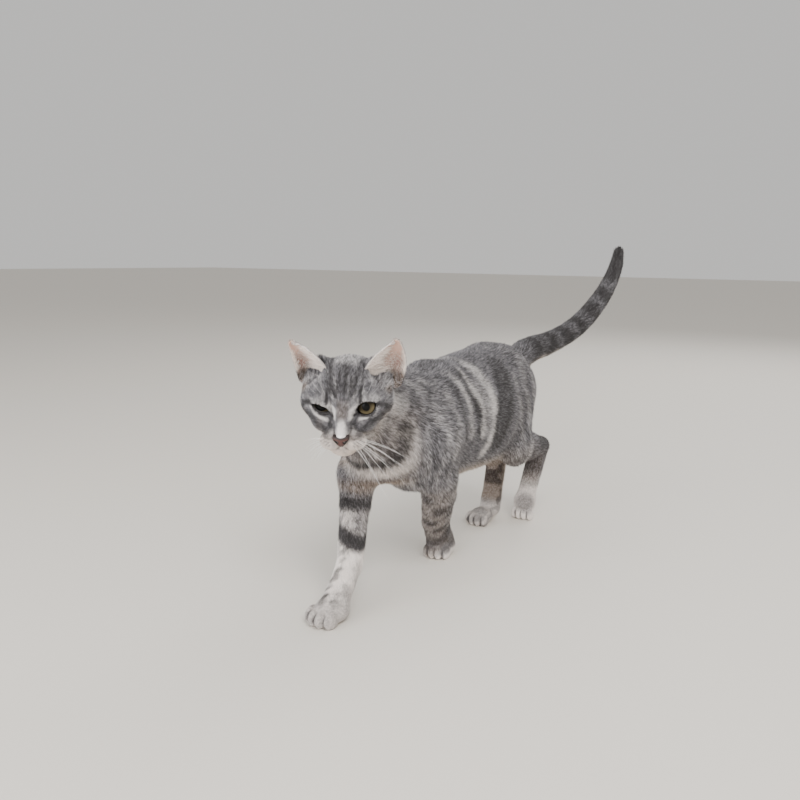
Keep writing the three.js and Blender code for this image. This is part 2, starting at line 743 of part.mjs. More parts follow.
function build() {
  const cat = new THREE.Group();
  const add = (name, solid) => {
    const mesh = new THREE.Mesh(geometryOf(solid), new THREE.MeshStandardMaterial({ metalness: 0, ...finishOf(name) }));
    mesh.name = name;
    cat.add(mesh);
  };
  for (const [name, { region, cell }] of Object.entries(bodyRegions())) add(name, fleshIn(region, cell));
  for (const leg of Object.keys(LEGS))
    for (const [name, { region, cell }] of Object.entries(legRegions(leg))) add(name, fleshIn(region, cell));
  for (const [name, solid] of Object.entries(headPieces())) add(name, solid);

  const box = new THREE.Box3().setFromObject(cat);
  const centre = box.getCenter(new THREE.Vector3());
  cat.position.set(-centre.x, -centre.y, 0);
  return cat;
}

export default build();
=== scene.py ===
import json
import math

import bpy
import numpy as np
from mathutils import Matrix, Vector


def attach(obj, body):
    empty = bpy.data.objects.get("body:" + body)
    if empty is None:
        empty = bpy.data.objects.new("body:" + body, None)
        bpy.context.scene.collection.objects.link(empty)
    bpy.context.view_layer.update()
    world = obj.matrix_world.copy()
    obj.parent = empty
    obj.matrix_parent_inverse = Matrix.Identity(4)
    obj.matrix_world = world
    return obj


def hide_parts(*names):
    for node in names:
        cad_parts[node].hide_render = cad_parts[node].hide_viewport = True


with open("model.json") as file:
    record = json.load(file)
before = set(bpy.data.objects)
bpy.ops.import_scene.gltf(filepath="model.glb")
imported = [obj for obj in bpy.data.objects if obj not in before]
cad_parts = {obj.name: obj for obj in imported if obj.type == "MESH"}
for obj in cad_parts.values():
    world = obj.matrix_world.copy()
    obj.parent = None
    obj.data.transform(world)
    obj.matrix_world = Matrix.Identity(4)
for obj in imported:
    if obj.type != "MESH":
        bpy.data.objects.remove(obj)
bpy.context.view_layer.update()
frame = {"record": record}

# The cat is built in millimetres round its own place on the floor: it heads along -Y and its left side is +X.
# Its flesh is one distance field of bones, ellipsoids and a lofted trunk that melt into each other, as the
# solids are. The skin is that field's surface, drawn in by the depth of the coat, and the coat is tufts that
# stand on the skin.

MM = 0.001

# ---------------------------------------------------------------- driving dimensions

# The skin's mesh on the body. It is twice as fine on the face and paws, and four times at eyes and muzzle.
SKIN_CELL = 2.6
TUFTS = 1.0  # the share of each piece's tufts

TRUNK = np.array([  # along the body: where, the height of the back and of the underside, and half the width
    (-84, 213, 93, 42),
    (-44, 222, 93, 49),
    (-4, 226, 92, 54),
    (36, 229, 89, 56),
    (76, 231, 89, 53),
    (112, 227, 101, 46),
    (140, 220, 126, 38),
], float)
NECK = dict(low=(-2, -104, 181), high=(-10, -160, 199), r_low=38, r_high=32)
RUFF = dict(low=(-12, -130, 141), high=(-10, -154, 168), r_low=31, r_high=29)

HEAD_AT = (-0.2, -202.6, 201)  # midway between the eyes
HEAD_TURN = 27
HEAD_NOD = 14
EYE_RADIUS = 10.5
EYE = (19, 4.2, -0.3)  # the left eye's centre, in the head's frame
EYE_TURN = 4
LID = 1.5
BALL_GAP = 0.1  # between the eyeball and its socket
CORNEA = 0.7  # how far the cornea bulges past the eyeball
EYE_OPENING = {
    "left": dict(half=10.3, above=6.8, below=6.6, slant=27),
    "right": dict(half=8.8, above=2.8, below=3.8, slant=23),
}

EARS = {
    "left": dict(inner=(18, 12, 29), outer=(47, 28, 7), inner_pull=(26, 16, 43), outer_pull=(56, 33, 29),
                 tip=(44, 22, 49.5), roundness=3.6),
    "right": dict(inner=(-17, 12, 28), outer=(-45, 30, 9), inner_pull=(-31, 16, 46), outer_pull=(-49, 27, 30),
                  tip=(-48.5, 22, 47.5), roundness=2.8),
}
EAR_CUP = 11

# The rows of whiskers, from the top: how high, and how far out from the middle line the first one stands.
WHISKER_ROWS = [(-21.5, 10.6), (-24.2, 11.4), (-26.8, 10.8), (-28.8, 12.0)]
WHISKER_STEP = 2.6  # from one whisker of a row to the next
WHISKER_DIP = 0.6  # how much lower the next one stands

TAIL_ROUTE = [
    (1, 158, 196), (4, 198, 211), (16, 252, 219), (30, 310, 236),
    (41, 354, 262), (49, 385, 290), (54, 405, 320), (55, 410, 339),
]
TAIL_RADIUS = (20, 16, 9.5)

LEGS = {
    "foreleg_right": dict(
        joints=((-31, -116, 158), (-35, -130, 118), (-11.5, -178, 44), (-10.5, -212, 0)),
        radii=(27, 23, 13), heading=-8, paw=1.12, heel=(-6, 14), raised=False),
    "foreleg_left": dict(
        joints=((31, -92, 154), (27, -72, 110), (-5, -21, 43), (-5.5, -10, 0)),
        radii=(27, 20, 16), heading=10, paw=0.98, heel=(-5, 14), raised=False),
    "hindleg_right": dict(
        joints=((-22, 113, 172), (-33, 98, 112), (-27, 188, 65), (-15, 117, 0)),
        radii=(30, 26, 14), heading=-4, paw=1.0, heel=(-24, 15), raised=False),
    "hindleg_left": dict(
        joints=((22, 113, 172), (35, 98, 110), (33, 185, 93), (23, 163, 0)),
        radii=(30, 25, 13), heading=0, paw=0.96, heel=(-5, 24), raised=True),
}
SIDES = {"left": 1, "right": -1}

# How deep the coat is, from the skin to the tips of the hairs.
COAT = dict(trunk=3.6, belly=4.2, neck=3.8, head=1.5, tail=3.6, leg=2.0, paw=0.9)
THINNEST_COAT = 0.4

# How widely the parts of the body melt into each other.
MELT = dict(ruff=22, neck=24, head=14, tail=12, leg=12)

# How long the tufts are.
LENGTH = dict(belly=8, trunk=5.6, chest=7.2, neck=5.8, tail=6.2, paw=2.4)
LENGTH_UNDER_PAW = 1.4

# How many layers of tufts cover the skin, how wide a tuft is (a start and a share of its length), and how
# far tufts stray from the lie of the coat.
TUFT_LAYERS = 2.8
TUFT_WIDTH = (0.15, 0.055)
DISORDER = dict(face=0.11, body=0.2, ear=0.22)

# Where the built place meets the frame: the sole of the right forepaw is a mount of the part.
sole = next(m for m in frame["record"]["mounts"] if m["name"] == "sole_foreleg_right")
SHIFT = np.array(sole["pos_m"]) / MM - np.array(LEGS["foreleg_right"]["joints"][3])


# ---------------------------------------------------------------- small helpers

def vec(*v):
    return np.array(v, float)


def unit(v):
    return v / np.maximum(np.linalg.norm(v, axis=-1, keepdims=True), 1e-9)


def dot(a, b):
    return np.sum(a * b, axis=-1)


def smooth(low, high, x):
    t = np.clip((x - low) / (high - low), 0, 1)
    return t * t * (3 - 2 * t)


def bump(centre, width, x):
    """1 at the centre, falling to 0 at a distance of width on both sides."""
    return smooth(1, 0, np.abs(x - centre) / width)


def mix(a, b, t):
    a, b = np.asarray(a, float), np.asarray(b, float)
    return a + (b - a) * t


def wander(p, size, seed):
    """A smooth random value from -1 to 1 that changes over about `size`."""
    local = np.random.default_rng(seed)
    total = np.zeros(len(p))
    for octave in range(4):
        wave = unit(local.normal(size=3)) * (1 + 0.45 * octave) * 2.2 / size
        total += np.sin(p @ wave + local.uniform(0, 6.28))
    return np.clip(total / 2.4, -1, 1)


# ---------------------------------------------------------------- distance fields

def melt(a, b, k):
    if not k:
        return np.minimum(a, b)
    h = np.maximum(k - np.abs(a - b), 0) / k
    return np.minimum(a, b) - h * h * k / 4


def bone(a, b, ra, rb, wide=1.0):
    a, b = vec(*a), vec(*b)
    scale = vec(1 / wide, 1, 1)
    d = (b - a) * scale

    def field(p):
        q = (p - a) * scale
        t = np.clip(q @ d / (d @ d), 0, 1)
        return (np.linalg.norm(q - t[:, None] * d, axis=1) - (ra + (rb - ra) * t)) * min(1, wide)

    return field


def ellipsoid(c, r):
    c, r = vec(*c), vec(*r)

    def field(p):
        q = (p - c) / r
        k0 = np.linalg.norm(q, axis=1)
        k1 = np.linalg.norm(q / r, axis=1)
        return np.where(k1 < 1e-9, -r.min(), k0 * (k0 - 1) / np.maximum(k1, 1e-9))

    return field


def melted(forms):
    def field(p):
        d = forms[0][0](p)
        for form, k in forms[1:]:
            d = melt(d, form(p), k)
        return d

    return field


def through(column, y):
    """A smooth curve through the trunk's stations, held flat past its ends."""
    at, value = TRUNK[:, 0], TRUNK[:, column]
    slope = np.gradient(value, at)
    slope[1:-1] = (value[2:] - value[:-2]) / (at[2:] - at[:-2])
    y = np.clip(y, at[0], at[-1])
    i = np.clip(np.searchsorted(at, y, side="right") - 1, 0, len(at) - 2)
    span = at[i + 1] - at[i]
    u = (y - at[i]) / span
    return ((2 * u**3 - 3 * u**2 + 1) * value[i] + (u**3 - 2 * u**2 + u) * span * slope[i]
            + (3 * u**2 - 2 * u**3) * value[i + 1] + (u**3 - u**2) * span * slope[i + 1])


def trunk_loft(p):
    back, under, half = (through(c, p[:, 1]) for c in (1, 2, 3))
    high = (back - under) / 2
    x, z = p[:, 0] / half, (p[:, 2] - (back + under) / 2) / high
    k0 = np.hypot(x, z)
    round_ = k0 * (k0 - 1) / np.maximum(np.hypot(x / half, z / high), 1e-6)
    return np.maximum(np.maximum(round_, TRUNK[0, 0] - p[:, 1]), p[:, 1] - TRUNK[-1, 0])


def trunk_forms():
    forms = [
        (trunk_loft, 0),
        (ellipsoid((0, -88, 153), (42, 40, 60)), 10),
        (ellipsoid((0, 130, 177), (33, 40, 41)), 10),
    ]
    for s in SIDES.values():
        forms.append((bone((s * 15, -46, 207), (s * 30, -84, 158), 13, 25), 24))
        forms.append((bone((s * 18, 102, 206), (s * 15, 129, 172), 20, 21), 24))
    return forms


# ---------------------------------------------------------------- the tail

def centripetal(points, count):
    """Points along the smooth curve through `points`, evenly spread over its parameter."""
    pts = [vec(*p) for p in points]
    pts = [2 * pts[0] - pts[1]] + pts + [2 * pts[-1] - pts[-2]]
    out = []
    spans = len(pts) - 3
    for n in range(count):
        at = n / (count - 1) * spans
        i = min(int(at), spans - 1)
        u = at - i
        p0, p1, p2, p3 = pts[i:i + 4]
        t0 = 0.0
        t1 = t0 + np.linalg.norm(p1 - p0) ** 0.5
        t2 = t1 + np.linalg.norm(p2 - p1) ** 0.5
        t3 = t2 + np.linalg.norm(p3 - p2) ** 0.5
        t = t1 + u * (t2 - t1)
        a1 = (t1 - t) / (t1 - t0) * p0 + (t - t0) / (t1 - t0) * p1
        a2 = (t2 - t) / (t2 - t1) * p1 + (t - t1) / (t2 - t1) * p2
        a3 = (t3 - t) / (t3 - t2) * p2 + (t - t2) / (t3 - t2) * p3
        b1 = (t2 - t) / (t2 - t0) * a1 + (t - t0) / (t2 - t0) * a2
        b2 = (t3 - t) / (t3 - t1) * a2 + (t - t1) / (t3 - t1) * a3
        out.append((t2 - t) / (t2 - t1) * b1 + (t - t1) / (t2 - t1) * b2)
    return np.array(out)


TAIL_STEPS = 16
TAIL_LINE = centripetal(TAIL_ROUTE, TAIL_STEPS + 1)


def tail_radius(t):
    root, middle, tip = TAIL_RADIUS
    far = np.clip((t - 0.4) / 0.6, 0, 1) ** 1.6
    return np.where(t < 0.4, mix(root, middle, smooth(0, 0.4, t)), mix(middle, tip, far))


def tail_forms():
    r = tail_radius(np.linspace(0, 1, TAIL_STEPS + 1))
    return [(bone(TAIL_LINE[i], TAIL_LINE[i + 1], r[i], r[i + 1]), 0) for i in range(TAIL_STEPS)]


# ---------------------------------------------------------------- the legs

def on_paw(leg, left, ahead, up):
    x, y, _ = leg["joints"][3]
    turn = math.radians(leg["heading"])
    cos, sin = math.cos(turn), math.sin(turn)
    return (x + left * cos + ahead * sin, y - ahead * cos + left * sin, up)


def toe_places(leg):
    places = []
    for step in (-1.5, -0.5, 0.5, 1.5):
        ahead = 5 - abs(step) * 2 if leg["raised"] else 13.5 - abs(step) * 3.2
        places.append(on_paw(leg, step * 7 * leg["paw"], ahead * leg["paw"], 7.4))
    return places


def paw_forms(leg):
    size = leg["paw"]
    if leg["raised"]:
        forms = [(ellipsoid(on_paw(leg, 0, -4, 19), (12.5 * size, 11 * size, 15)), 10)]
    else:
        forms = [(ellipsoid(on_paw(leg, 0, -2, 9), (14 * size, 17 * size, 11)), 8)]
    for toe in toe_places(leg):
        forms.append((ellipsoid(toe, (4.9 * size, (7.5 if leg["raised"] else 9.3) * size, 8.6)), 1.6))
    return forms


def leg_forms(name):
    leg = LEGS[name]
    top, middle, low = leg["joints"][:3]
    r_top, r_middle, r_low = leg["radii"]
    heel = on_paw(leg, 0, *leg["heel"])
    if name.startswith("foreleg"):
        muscle = mix(middle, low, 0.35)
        forms = [
            (bone(top, middle, r_top, r_middle, 0.8), 0),
            (bone(middle, muscle, r_middle - 1, r_low + 4), 8),
            (bone(muscle, low, r_low + 4, r_low), 3),
        ]
    else:
        calf = mix(middle, low, 0.5)
        thigh_front = (middle[0] * 0.86, middle[1] - 4, middle[2] + 26)
        forms = [
            (bone(top, middle, r_top, r_middle, 0.8), 0),
            (bone(top, thigh_front, 30, 25, 0.8), 16),
            (bone(middle, calf, r_middle - 2, 19, 0.84), 10),
            (bone(calf, low, 18.5, r_low), 6),
        ]
    forms.append((bone(low, heel, r_low, r_low - 0.5), 3))
    return forms + paw_forms(leg)


# ---------------------------------------------------------------- the head

def turned(degrees, axis):
    a = math.radians(degrees)
    c, s = math.cos(a), math.sin(a)
    i, j = [(1, 2), (2, 0), (0, 1)]["XYZ".index(axis)]
    m = np.eye(3)
    m[i, i] = m[j, j] = c
    m[i, j], m[j, i] = -s, s
    return m


HEAD_ROTATION = turned(HEAD_TURN, "Z") @ turned(HEAD_NOD, "X")


def into_head(p):
    return (p - vec(*HEAD_AT)) @ HEAD_ROTATION


def out_of_head(p):
    return np.asarray(p, float) @ HEAD_ROTATION.T + vec(*HEAD_AT)


def head_forms():
    forms = [
        (ellipsoid((0, 31, 4), (32, 36, 29.5)), 0),
        (ellipsoid((0, 12, 13), (24, 20, 19)), 12),
        (bone((0, -4, 4), (0, -21, -15), 9.5, 6.5), 9),
        (ellipsoid((0, 13, -22), (20, 24, 15)), 12),
        (ellipsoid((0, -17, -33.5), (9, 8, 6.8)), 5),
    ]
    for s in SIDES.values():
        forms.append((ellipsoid((s * EYE[0], EYE[1], EYE[2]), (EYE_RADIUS + LID,) * 3), 7))
        forms.append((ellipsoid((s * 23.5, 16, -2), (19, 22, 18)), 14))
        forms.append((ellipsoid((s * 17.5, -2, -14.5), (11.6, 14, 9)), 9))
        forms.append((bone((s * 6, -12, -30.5), (s * 20, 22, -20), 7.5, 12), 9))
        forms.append((ellipsoid((s * 10.2, -16.5, -26), (10.6, 10.8, 8.4)), 4))
        forms.append((ellipsoid((s * 27.5, 25, 20), (14.5, 13, 17)), 12))
    forms.append((ellipsoid((0, -27, -19.5), (6, 5, 4.8)), 3))
    return forms


def eye_centre(side):
    return vec(SIDES[side] * EYE[0], EYE[1], EYE[2])


def eye_axes(side):
    """Outwards along the lids, up across them, and the way the eye looks, in the head's frame."""
    s = SIDES[side]
    turn = turned(EYE_TURN * s, "Z") @ turned(-EYE_OPENING[side]["slant"] * s, "Y")
    return turn @ vec(s, 0, 0), turn @ vec(0, 0, 1), turn @ vec(0, -1, 0)


def lid_heights(side, u):
    """How far above and below the middle line the lids' edges are, at u from -1 to 1 along the eye."""
    o = EYE_OPENING[side]
    arch = np.clip(1 - np.abs(u) ** 2.2, 0, 1)
    return o["above"] * arch * (1 - 0.12 * u), -o["below"] * arch * (1 + 0.14 * u)


def eye_opening(side):
    """Negative in front of the eye, between the lids."""
    out, up, ahead = eye_axes(side)
    half = EYE_OPENING[side]["half"]

    def field(h):
        q = h - eye_centre(side)
        u, v, w = q @ out / half, q @ up, q @ ahead
        above, below = lid_heights(side, u)
        edge = np.maximum(np.maximum(v - above, below - v), (np.abs(u) - 1) * half)
        return np.maximum(edge, 2 - w)

    return field


head_field = melted(head_forms())
trunk_field = melted(trunk_forms())
neck_field = bone(NECK["low"], NECK["high"], NECK["r_low"], NECK["r_high"], 0.96)
ruff_field = bone(RUFF["low"], RUFF["high"], RUFF["r_low"], RUFF["r_high"])
tail_field = melted(tail_forms())
leg_fields = {name: melted(leg_forms(name)) for name in LEGS}
PARTS = ["trunk", "neck", "head", "tail", *LEGS]


def part_distances(p):
    return np.stack([
        trunk_field(p),
        melt(neck_field(p), ruff_field(p), MELT["ruff"]),
        head_field(into_head(p)),
        tail_field(p),
        *(leg_fields[name](p) for name in LEGS),
    ])


def body(p, distances=None):
    d = part_distances(p) if distances is None else distances
    whole = melt(d[0], d[1], MELT["neck"])
    whole = melt(whole, d[2], MELT["head"])
    whole = melt(whole, d[3], MELT["tail"])
    for leg in d[4:]:
        whole = melt(whole, leg, MELT["leg"])
    return whole


def part_shares(distances, soft=9.0):
    """How much each part of the body has of a point, adding up to 1."""
    w = np.exp(-(distances - distances.min(0)) / soft)
    return w / w.sum(0)


# ---------------------------------------------------------------- where a point lies on the body

def along(p, line):
    """For each point, the nearest place on a line, from 0 to 1, the line's way there and its distance."""
    line = np.asarray(line, float)
    lengths = np.linalg.norm(np.diff(line, axis=0), axis=1)
    starts = np.concatenate([[0], np.cumsum(lengths)])
    best = np.full(len(p), 1e9)
    place = np.zeros(len(p))
    way = np.zeros((len(p), 3))
    for i, length in enumerate(lengths):
        d = (line[i + 1] - line[i]) / length
        t = np.clip((p - line[i]) @ d, 0, length)
        off = np.linalg.norm(p - line[i] - t[:, None] * d, axis=1)
        nearer = off < best
        best = np.where(nearer, off, best)
        place = np.where(nearer, (starts[i] + t) / starts[-1], place)
        way[nearer] = d
    return place, way, best


def leg_line(name):
    joints = LEGS[name]["joints"]
    heel = on_paw(LEGS[name], 0, *LEGS[name]["heel"])
    toes = on_paw(LEGS[name], 0, 16, 6)
    return [*joints[:3], heel, toes]


class Place:
    """Everything about where points lie that the coat's depth, lie and markings need."""

    def __init__(self, p):
        self.p = p
        self.distances = part_distances(p)
        self.share = dict(zip(PARTS, part_shares(self.distances)))
        self.h = into_head(p)
        self.legs = {name: along(p, leg_line(name)) for name in LEGS}
        self.tail = along(p, TAIL_LINE)
        self.leg = sum(self.share[name] for name in LEGS)
        back, under = through(1, p[:, 1]), through(2, p[:, 1])
        self.height = np.clip((p[:, 2] - under) / (back - under), 0, 1)  # 0 at the belly, 1 at the back

    def on_low_leg(self):
        return sum(self.share[n] * smooth(0.45, 0.62, self.legs[n][0]) for n in LEGS)

    def on_paw(self):
        low = smooth(34, 24, self.p[:, 2])
        return np.clip(sum(self.share[n] * low * smooth(0.6, 0.7, self.legs[n][0]) for n in LEGS), 0, 1)


def coat_depth(place):
    s = place.share
    trunk = mix(COAT["belly"], COAT["trunk"], smooth(0.05, 0.35, place.height))
    low_leg = place.on_low_leg()
    upper_leg = np.clip(place.leg - low_leg, 0, 1)
    h = place.h
    cheek = s["head"] * smooth(-8, 26, h[:, 1]) * smooth(16, -16, h[:, 2])
    muzzle = s["head"] * smooth(-2, -18, h[:, 1])
    depth = s["trunk"] * trunk
    for part in ("neck", "head", "tail"):
        depth = depth + s[part] * COAT[part]
    depth = depth + low_leg * COAT["leg"] + upper_leg * (COAT["trunk"] - 0.4)
    depth = depth + 1.6 * cheek - 0.7 * muzzle
    depth = mix(depth, COAT["paw"], place.on_paw())
    for side in SIDES:
        near_eye = np.linalg.norm(h - eye_centre(side), axis=1)
        depth = mix(0.5, depth, smooth(11, 18, near_eye))
    return np.maximum(depth, THINNEST_COAT)


# The line of the closed mouth on the left side and the groove under the nose, in the head's frame, and how
# deep and how wide each is cut.
MOUTH = [(0, -25, -27.2), (0, -24.5, -29.6), (6, -22, -31.2), (12, -15, -30.2), (15, -6, -27)]
MOUTH_CUT, MOUTH_WIDTH = 1.1, 1.3
GROOVE = [(0, -30, -25), (0, -26, -30)]
GROOVE_CUT, GROOVE_WIDTH = 0.8, 1.1
SOCKET_DEPTH = 1.6  # how far behind the eyeball's surface the skin drops between the lids
EAR_BOWL = dict(centre=(36, 18, 29), radii=(17, 15, 19))  # the hollow of the head in front of the left ear
SOLE_HEIGHT = 0.6  # how far above the floor the skin of the soles is


def mouth_line(s):
    return np.array(MOUTH) * vec(s, 1, 1)


def off_mouth(h):
    return np.min([along(h, mouth_line(s))[2] for s in SIDES.values()], axis=0)


def skin(p):
    """The surface that the coat stands on, with the eyes' sockets, the mouth and the bowls of the ears."""
    place = Place(p)
    d = body(p, place.distances) + coat_depth(place)
    near = place.distances[2] < 12
    if near.any():
        h = place.h[near]
        head = d[near]
        for side in SIDES:
            # Between the lids the skin drops behind the eyeball's surface.
            ball = np.linalg.norm(h - eye_centre(side), axis=1)
            head = np.maximum(head, -np.maximum(eye_opening(side)(h), EYE_RADIUS - SOCKET_DEPTH - ball))
        for s in SIDES.values():
            off = along(h, mouth_line(s))[2]
            head = head + MOUTH_CUT * np.exp(-((off / MOUTH_WIDTH) ** 2))
        for s in SIDES.values():
            # In front of the ear's leaf the head falls away into its bowl.
            bowl = ellipsoid(EAR_BOWL["centre"] * vec(s, 1, 1), EAR_BOWL["radii"])
            head = -melt(-head, bowl(h), 3)
        off = along(h, GROOVE)[2]
        head = head + GROOVE_CUT * np.exp(-((off / GROOVE_WIDTH) ** 2))
        d[near] = head
    return np.maximum(d, SOLE_HEIGHT - p[:, 2])


def gradient(field, p, h=0.25):
    g = np.empty_like(p)
    for m in range(3):
        step = np.zeros(3)
        step[m] = h
        g[:, m] = (field(p + step) - field(p - step)) / (2 * h)
    return g


def drawn_onto(field, p, reach):
    g = gradient(field, p)
    steep = np.maximum(dot(g, g), 0.2)
    d = np.clip(field(p), -reach, reach)
    return p - g * (d / steep)[:, None]


# ---------------------------------------------------------------- meshing the skin

def in_chunks(field, p, size=150_000):
    return np.concatenate([field(p[i:i + size]) for i in range(0, len(p), size)])


def surface_nets(field, low, high, cell):
    """The field's surface in triangles, with one vertex in each cell of the grid that the surface crosses."""
    low, high = vec(*low), vec(*high)
    n = np.ceil((high - low) / cell).astype(int) + 1
    # A coarse pass finds the cells near the surface, and only these are worked out in full.
    step = 4
    coarse_n = n // step + 2
    grid = np.stack(np.meshgrid(*(np.arange(c) for c in coarse_n), indexing="ij"), -1).reshape(-1, 3)
    rough = in_chunks(field, low + grid * cell * step).reshape(coarse_n)
    value = np.repeat(np.repeat(np.repeat(rough, step, 0), step, 1), step, 2)[:n[0], :n[1], :n[2]].copy()
    near = np.abs(value) < cell * step * 1.9
    at = np.argwhere(near)
    value[near] = in_chunks(field, low + at * cell)

    inside = value < 0
    corners = np.stack([
        inside[a:n[0] - 1 + a, b:n[1] - 1 + b, c:n[2] - 1 + c]
        for a in (0, 1) for b in (0, 1) for c in (0, 1)
    ])
    crossed = corners.any(0) & ~corners.all(0)
    cells = np.argwhere(crossed)
    number = np.full(crossed.shape, -1)
    number[crossed] = np.arange(len(cells))

    total = np.zeros((len(cells), 3))
    count = np.zeros(len(cells))
    for m in range(3):
        others = [k for k in range(3) if k != m]
        for a in (0, 1):
            for b in (0, 1):
                start = np.zeros(3, int)
                start[others[0]], start[others[1]] = a, b
                end = start.copy()
                end[m] = 1
                va = value[tuple((cells + start).T)]
                vb = value[tuple((cells + end).T)]
                cut = (va < 0) != (vb < 0)
                t = np.where(cut, va / np.where(cut, va - vb, 1), 0)
                point = cells + start + t[:, None] * (end - start)
                total += np.where(cut[:, None], point, 0)
                count += cut
    points = low + total / count[:, None] * cell

    quads = []
    for m in range(3):
        u, v = (m + 1) % 3, (m + 2) % 3
        length = np.array(inside.shape)
        length[m] -= 1
        a = inside[:length[0], :length[1], :length[2]]
        shift = [0, 0, 0]
        shift[m] = 1
        b = inside[shift[0]:, shift[1]:, shift[2]:]
        edges = np.argwhere(a != b)
        across, over = edges[:, u], edges[:, v]
        edges = edges[(across > 0) & (over > 0) & (across < n[u] - 1) & (over < n[v] - 1)]
        outward = inside[tuple(edges.T)]
        ring = []
        for du, dv in ((1, 1), (0, 1), (0, 0), (1, 0)):
            c = edges.copy()
            c[:, u] -= du
            c[:, v] -= dv
            ring.append(number[tuple(c.T)])
        ring = np.stack(ring, 1)
        ring[~outward] = ring[~outward][:, ::-1]
        quads.append(ring)
    quads = np.concatenate(quads)
    return points, np.concatenate([quads[:, [0, 1, 2]], quads[:, [0, 2, 3]]])


def refined(points, triangles, wanted):
    """Splits every edge whose middle `wanted` picks, and mends the triangles round it."""
    edges = np.sort(triangles[:, [[0, 1], [1, 2], [2, 0]]].reshape(-1, 2), axis=1)
    edges, which = np.unique(edges, axis=0, return_inverse=True)
    which = which.reshape(-1, 3)
    middle = points[edges].mean(1)
    split = wanted(middle)
    new = np.full(len(edges), -1)
    new[split] = len(points) + np.arange(split.sum())
    points = np.concatenate([points, middle[split]])
    case = split[which] @ np.array([1, 2, 4])
    a, b, c = triangles.T
    ab, bc, ca = new[which].T
    out = [triangles[case == 0]]

    def add(mask, *corners):
        out.append(np.stack([k[mask] for k in corners], 1))

    for turn in range(3):  # one split edge, then two, in each of the three ways round
        p, q, r = [(a, b, c), (b, c, a), (c, a, b)][turn]
        pq, qr = [(ab, bc), (bc, ca), (ca, ab)][turn]
        one = case == [1, 2, 4][turn]
        add(one, p, pq, r)
        add(one, pq, q, r)
        two = case == [3, 6, 5][turn]
        add(two, p, pq, r)
        add(two, pq, q, qr)
        add(two, pq, qr, r)
    three = case == 7
    add(three, a, ab, ca)
    add(three, ab, b, bc)
    add(three, ca, bc, c)
    add(three, ab, bc, ca)
    return points, np.concatenate(out)


def relaxed(points, triangles, share=0.5):
    """Each point moves towards the middle of its neighbours."""
    edges = np.concatenate([triangles[:, [0, 1]], triangles[:, [1, 2]], triangles[:, [2, 0]]])
    total = np.zeros_like(points)
    count = np.bincount(edges[:, 0], minlength=len(points)) + np.bincount(edges[:, 1], minlength=len(points))
    for m in range(3):
        total[:, m] = (np.bincount(edges[:, 0], points[edges[:, 1], m], len(points))
                       + np.bincount(edges[:, 1], points[edges[:, 0], m], len(points)))
    return mix(points, total / np.maximum(count, 1)[:, None], share)


def normals_of(points, triangles):
    a, b, c = (points[triangles[:, k]] for k in range(3))
    face = np.cross(b - a, c - a)
    n = np.zeros_like(points)
    for k in range(3):
        for m in range(3):
            n[:, m] += np.bincount(triangles[:, k], face[:, m], len(points))
    return unit(n)


def on_face(p):
    h = into_head(p)
    return (h[:, 1] < 26) & (h[:, 1] > -45) & (np.abs(h[:, 0]) < 46) & (np.abs(h[:, 2]) < 46)


def on_features(p):
    h = into_head(p)
    eyes = np.minimum(*(np.linalg.norm(h - eye_centre(s) - vec(0, -8, 0), axis=1) for s in SIDES))
    muzzle = np.linalg.norm((h - vec(0, -22, -24)) / vec(1.5, 1.1, 1), axis=1)
    return (eyes < 13) | (muzzle < 13)


def on_paws(p):
    near = np.zeros(len(p), bool)
    for leg in LEGS.values():
        near |= np.linalg.norm((p - vec(*on_paw(leg, 0, 4, 8))) / vec(1, 1, 0.8), axis=1) < 27
    return near


def make_skin():
    box_low, box_high = (-80, -250, -9), (90, 430, 358)
    points, triangles = surface_nets(skin, box_low, box_high, SKIN_CELL)

    def settled(p):
        return in_chunks(lambda part: drawn_onto(skin, part, 1.0), p, 60_000)

    points = settled(points)
    points, triangles = refined(points, triangles, lambda p: on_face(p) | on_paws(p))
    points = settled(relaxed(points, triangles))
    points, triangles = refined(points, triangles, on_features)
    fine = on_features(points)
    points[fine] = drawn_onto(skin, relaxed(points, triangles, 0.3)[fine], 0.6)
    return points, triangles


# ---------------------------------------------------------------- the lie of the coat

def coat_lie(place, normals):
    """The way the hairs point, along the skin."""
    p, s = place.p, place.share
    outwards = np.sign(p[:, 0]) * smooth(0, 30, np.abs(p[:, 0]))
    trunk = np.stack([0.1 * outwards, np.ones(len(p)), -0.5 * smooth(1.0, 0.3, place.height)], 1)
    chest = smooth(-70, -120, p[:, 1]) * smooth(175, 130, p[:, 2])
    down = np.stack([0.2 * outwards, np.full(len(p), 0.1), np.full(len(p), -1.0)], 1)
    trunk = mix(unit(trunk), unit(down), chest[:, None])
    neck = np.stack([0.25 * outwards, np.full(len(p), 0.75), np.full(len(p), -0.55)], 1)
    h = place.h
    from_nose = unit(h - vec(0, -34, -12))
    cheek = 0.35 * smooth(5, -20, h[:, 2]) * smooth(-20, 10, h[:, 1])
    from_nose[:, 2] += 0.5 * smooth(-10, 20, h[:, 2]) - cheek
    for side in SIDES:
        away = h - eye_centre(side)
        near = smooth(18, 12.5, np.linalg.norm(away, axis=1))[:, None]
        from_nose = mix(unit(from_nose), unit(away), near)
    head = unit(from_nose) @ HEAD_ROTATION.T
    flow = s["trunk"][:, None] * unit(trunk) + s["neck"][:, None] * unit(neck) + s["head"][:, None] * head
    flow = flow + s["tail"][:, None] * place.tail[1]
    for name in LEGS:
        flow = flow + s[name][:, None] * unit(place.legs[name][1] + vec(0, 0.25, 0))
    flow = flow + 0.16 * np.stack([wander(p, 22, k) for k in (1, 2, 3)], 1)
    flow = flow - normals * dot(flow, normals)[:, None]
    return unit(flow)


# ---------------------------------------------------------------- the markings

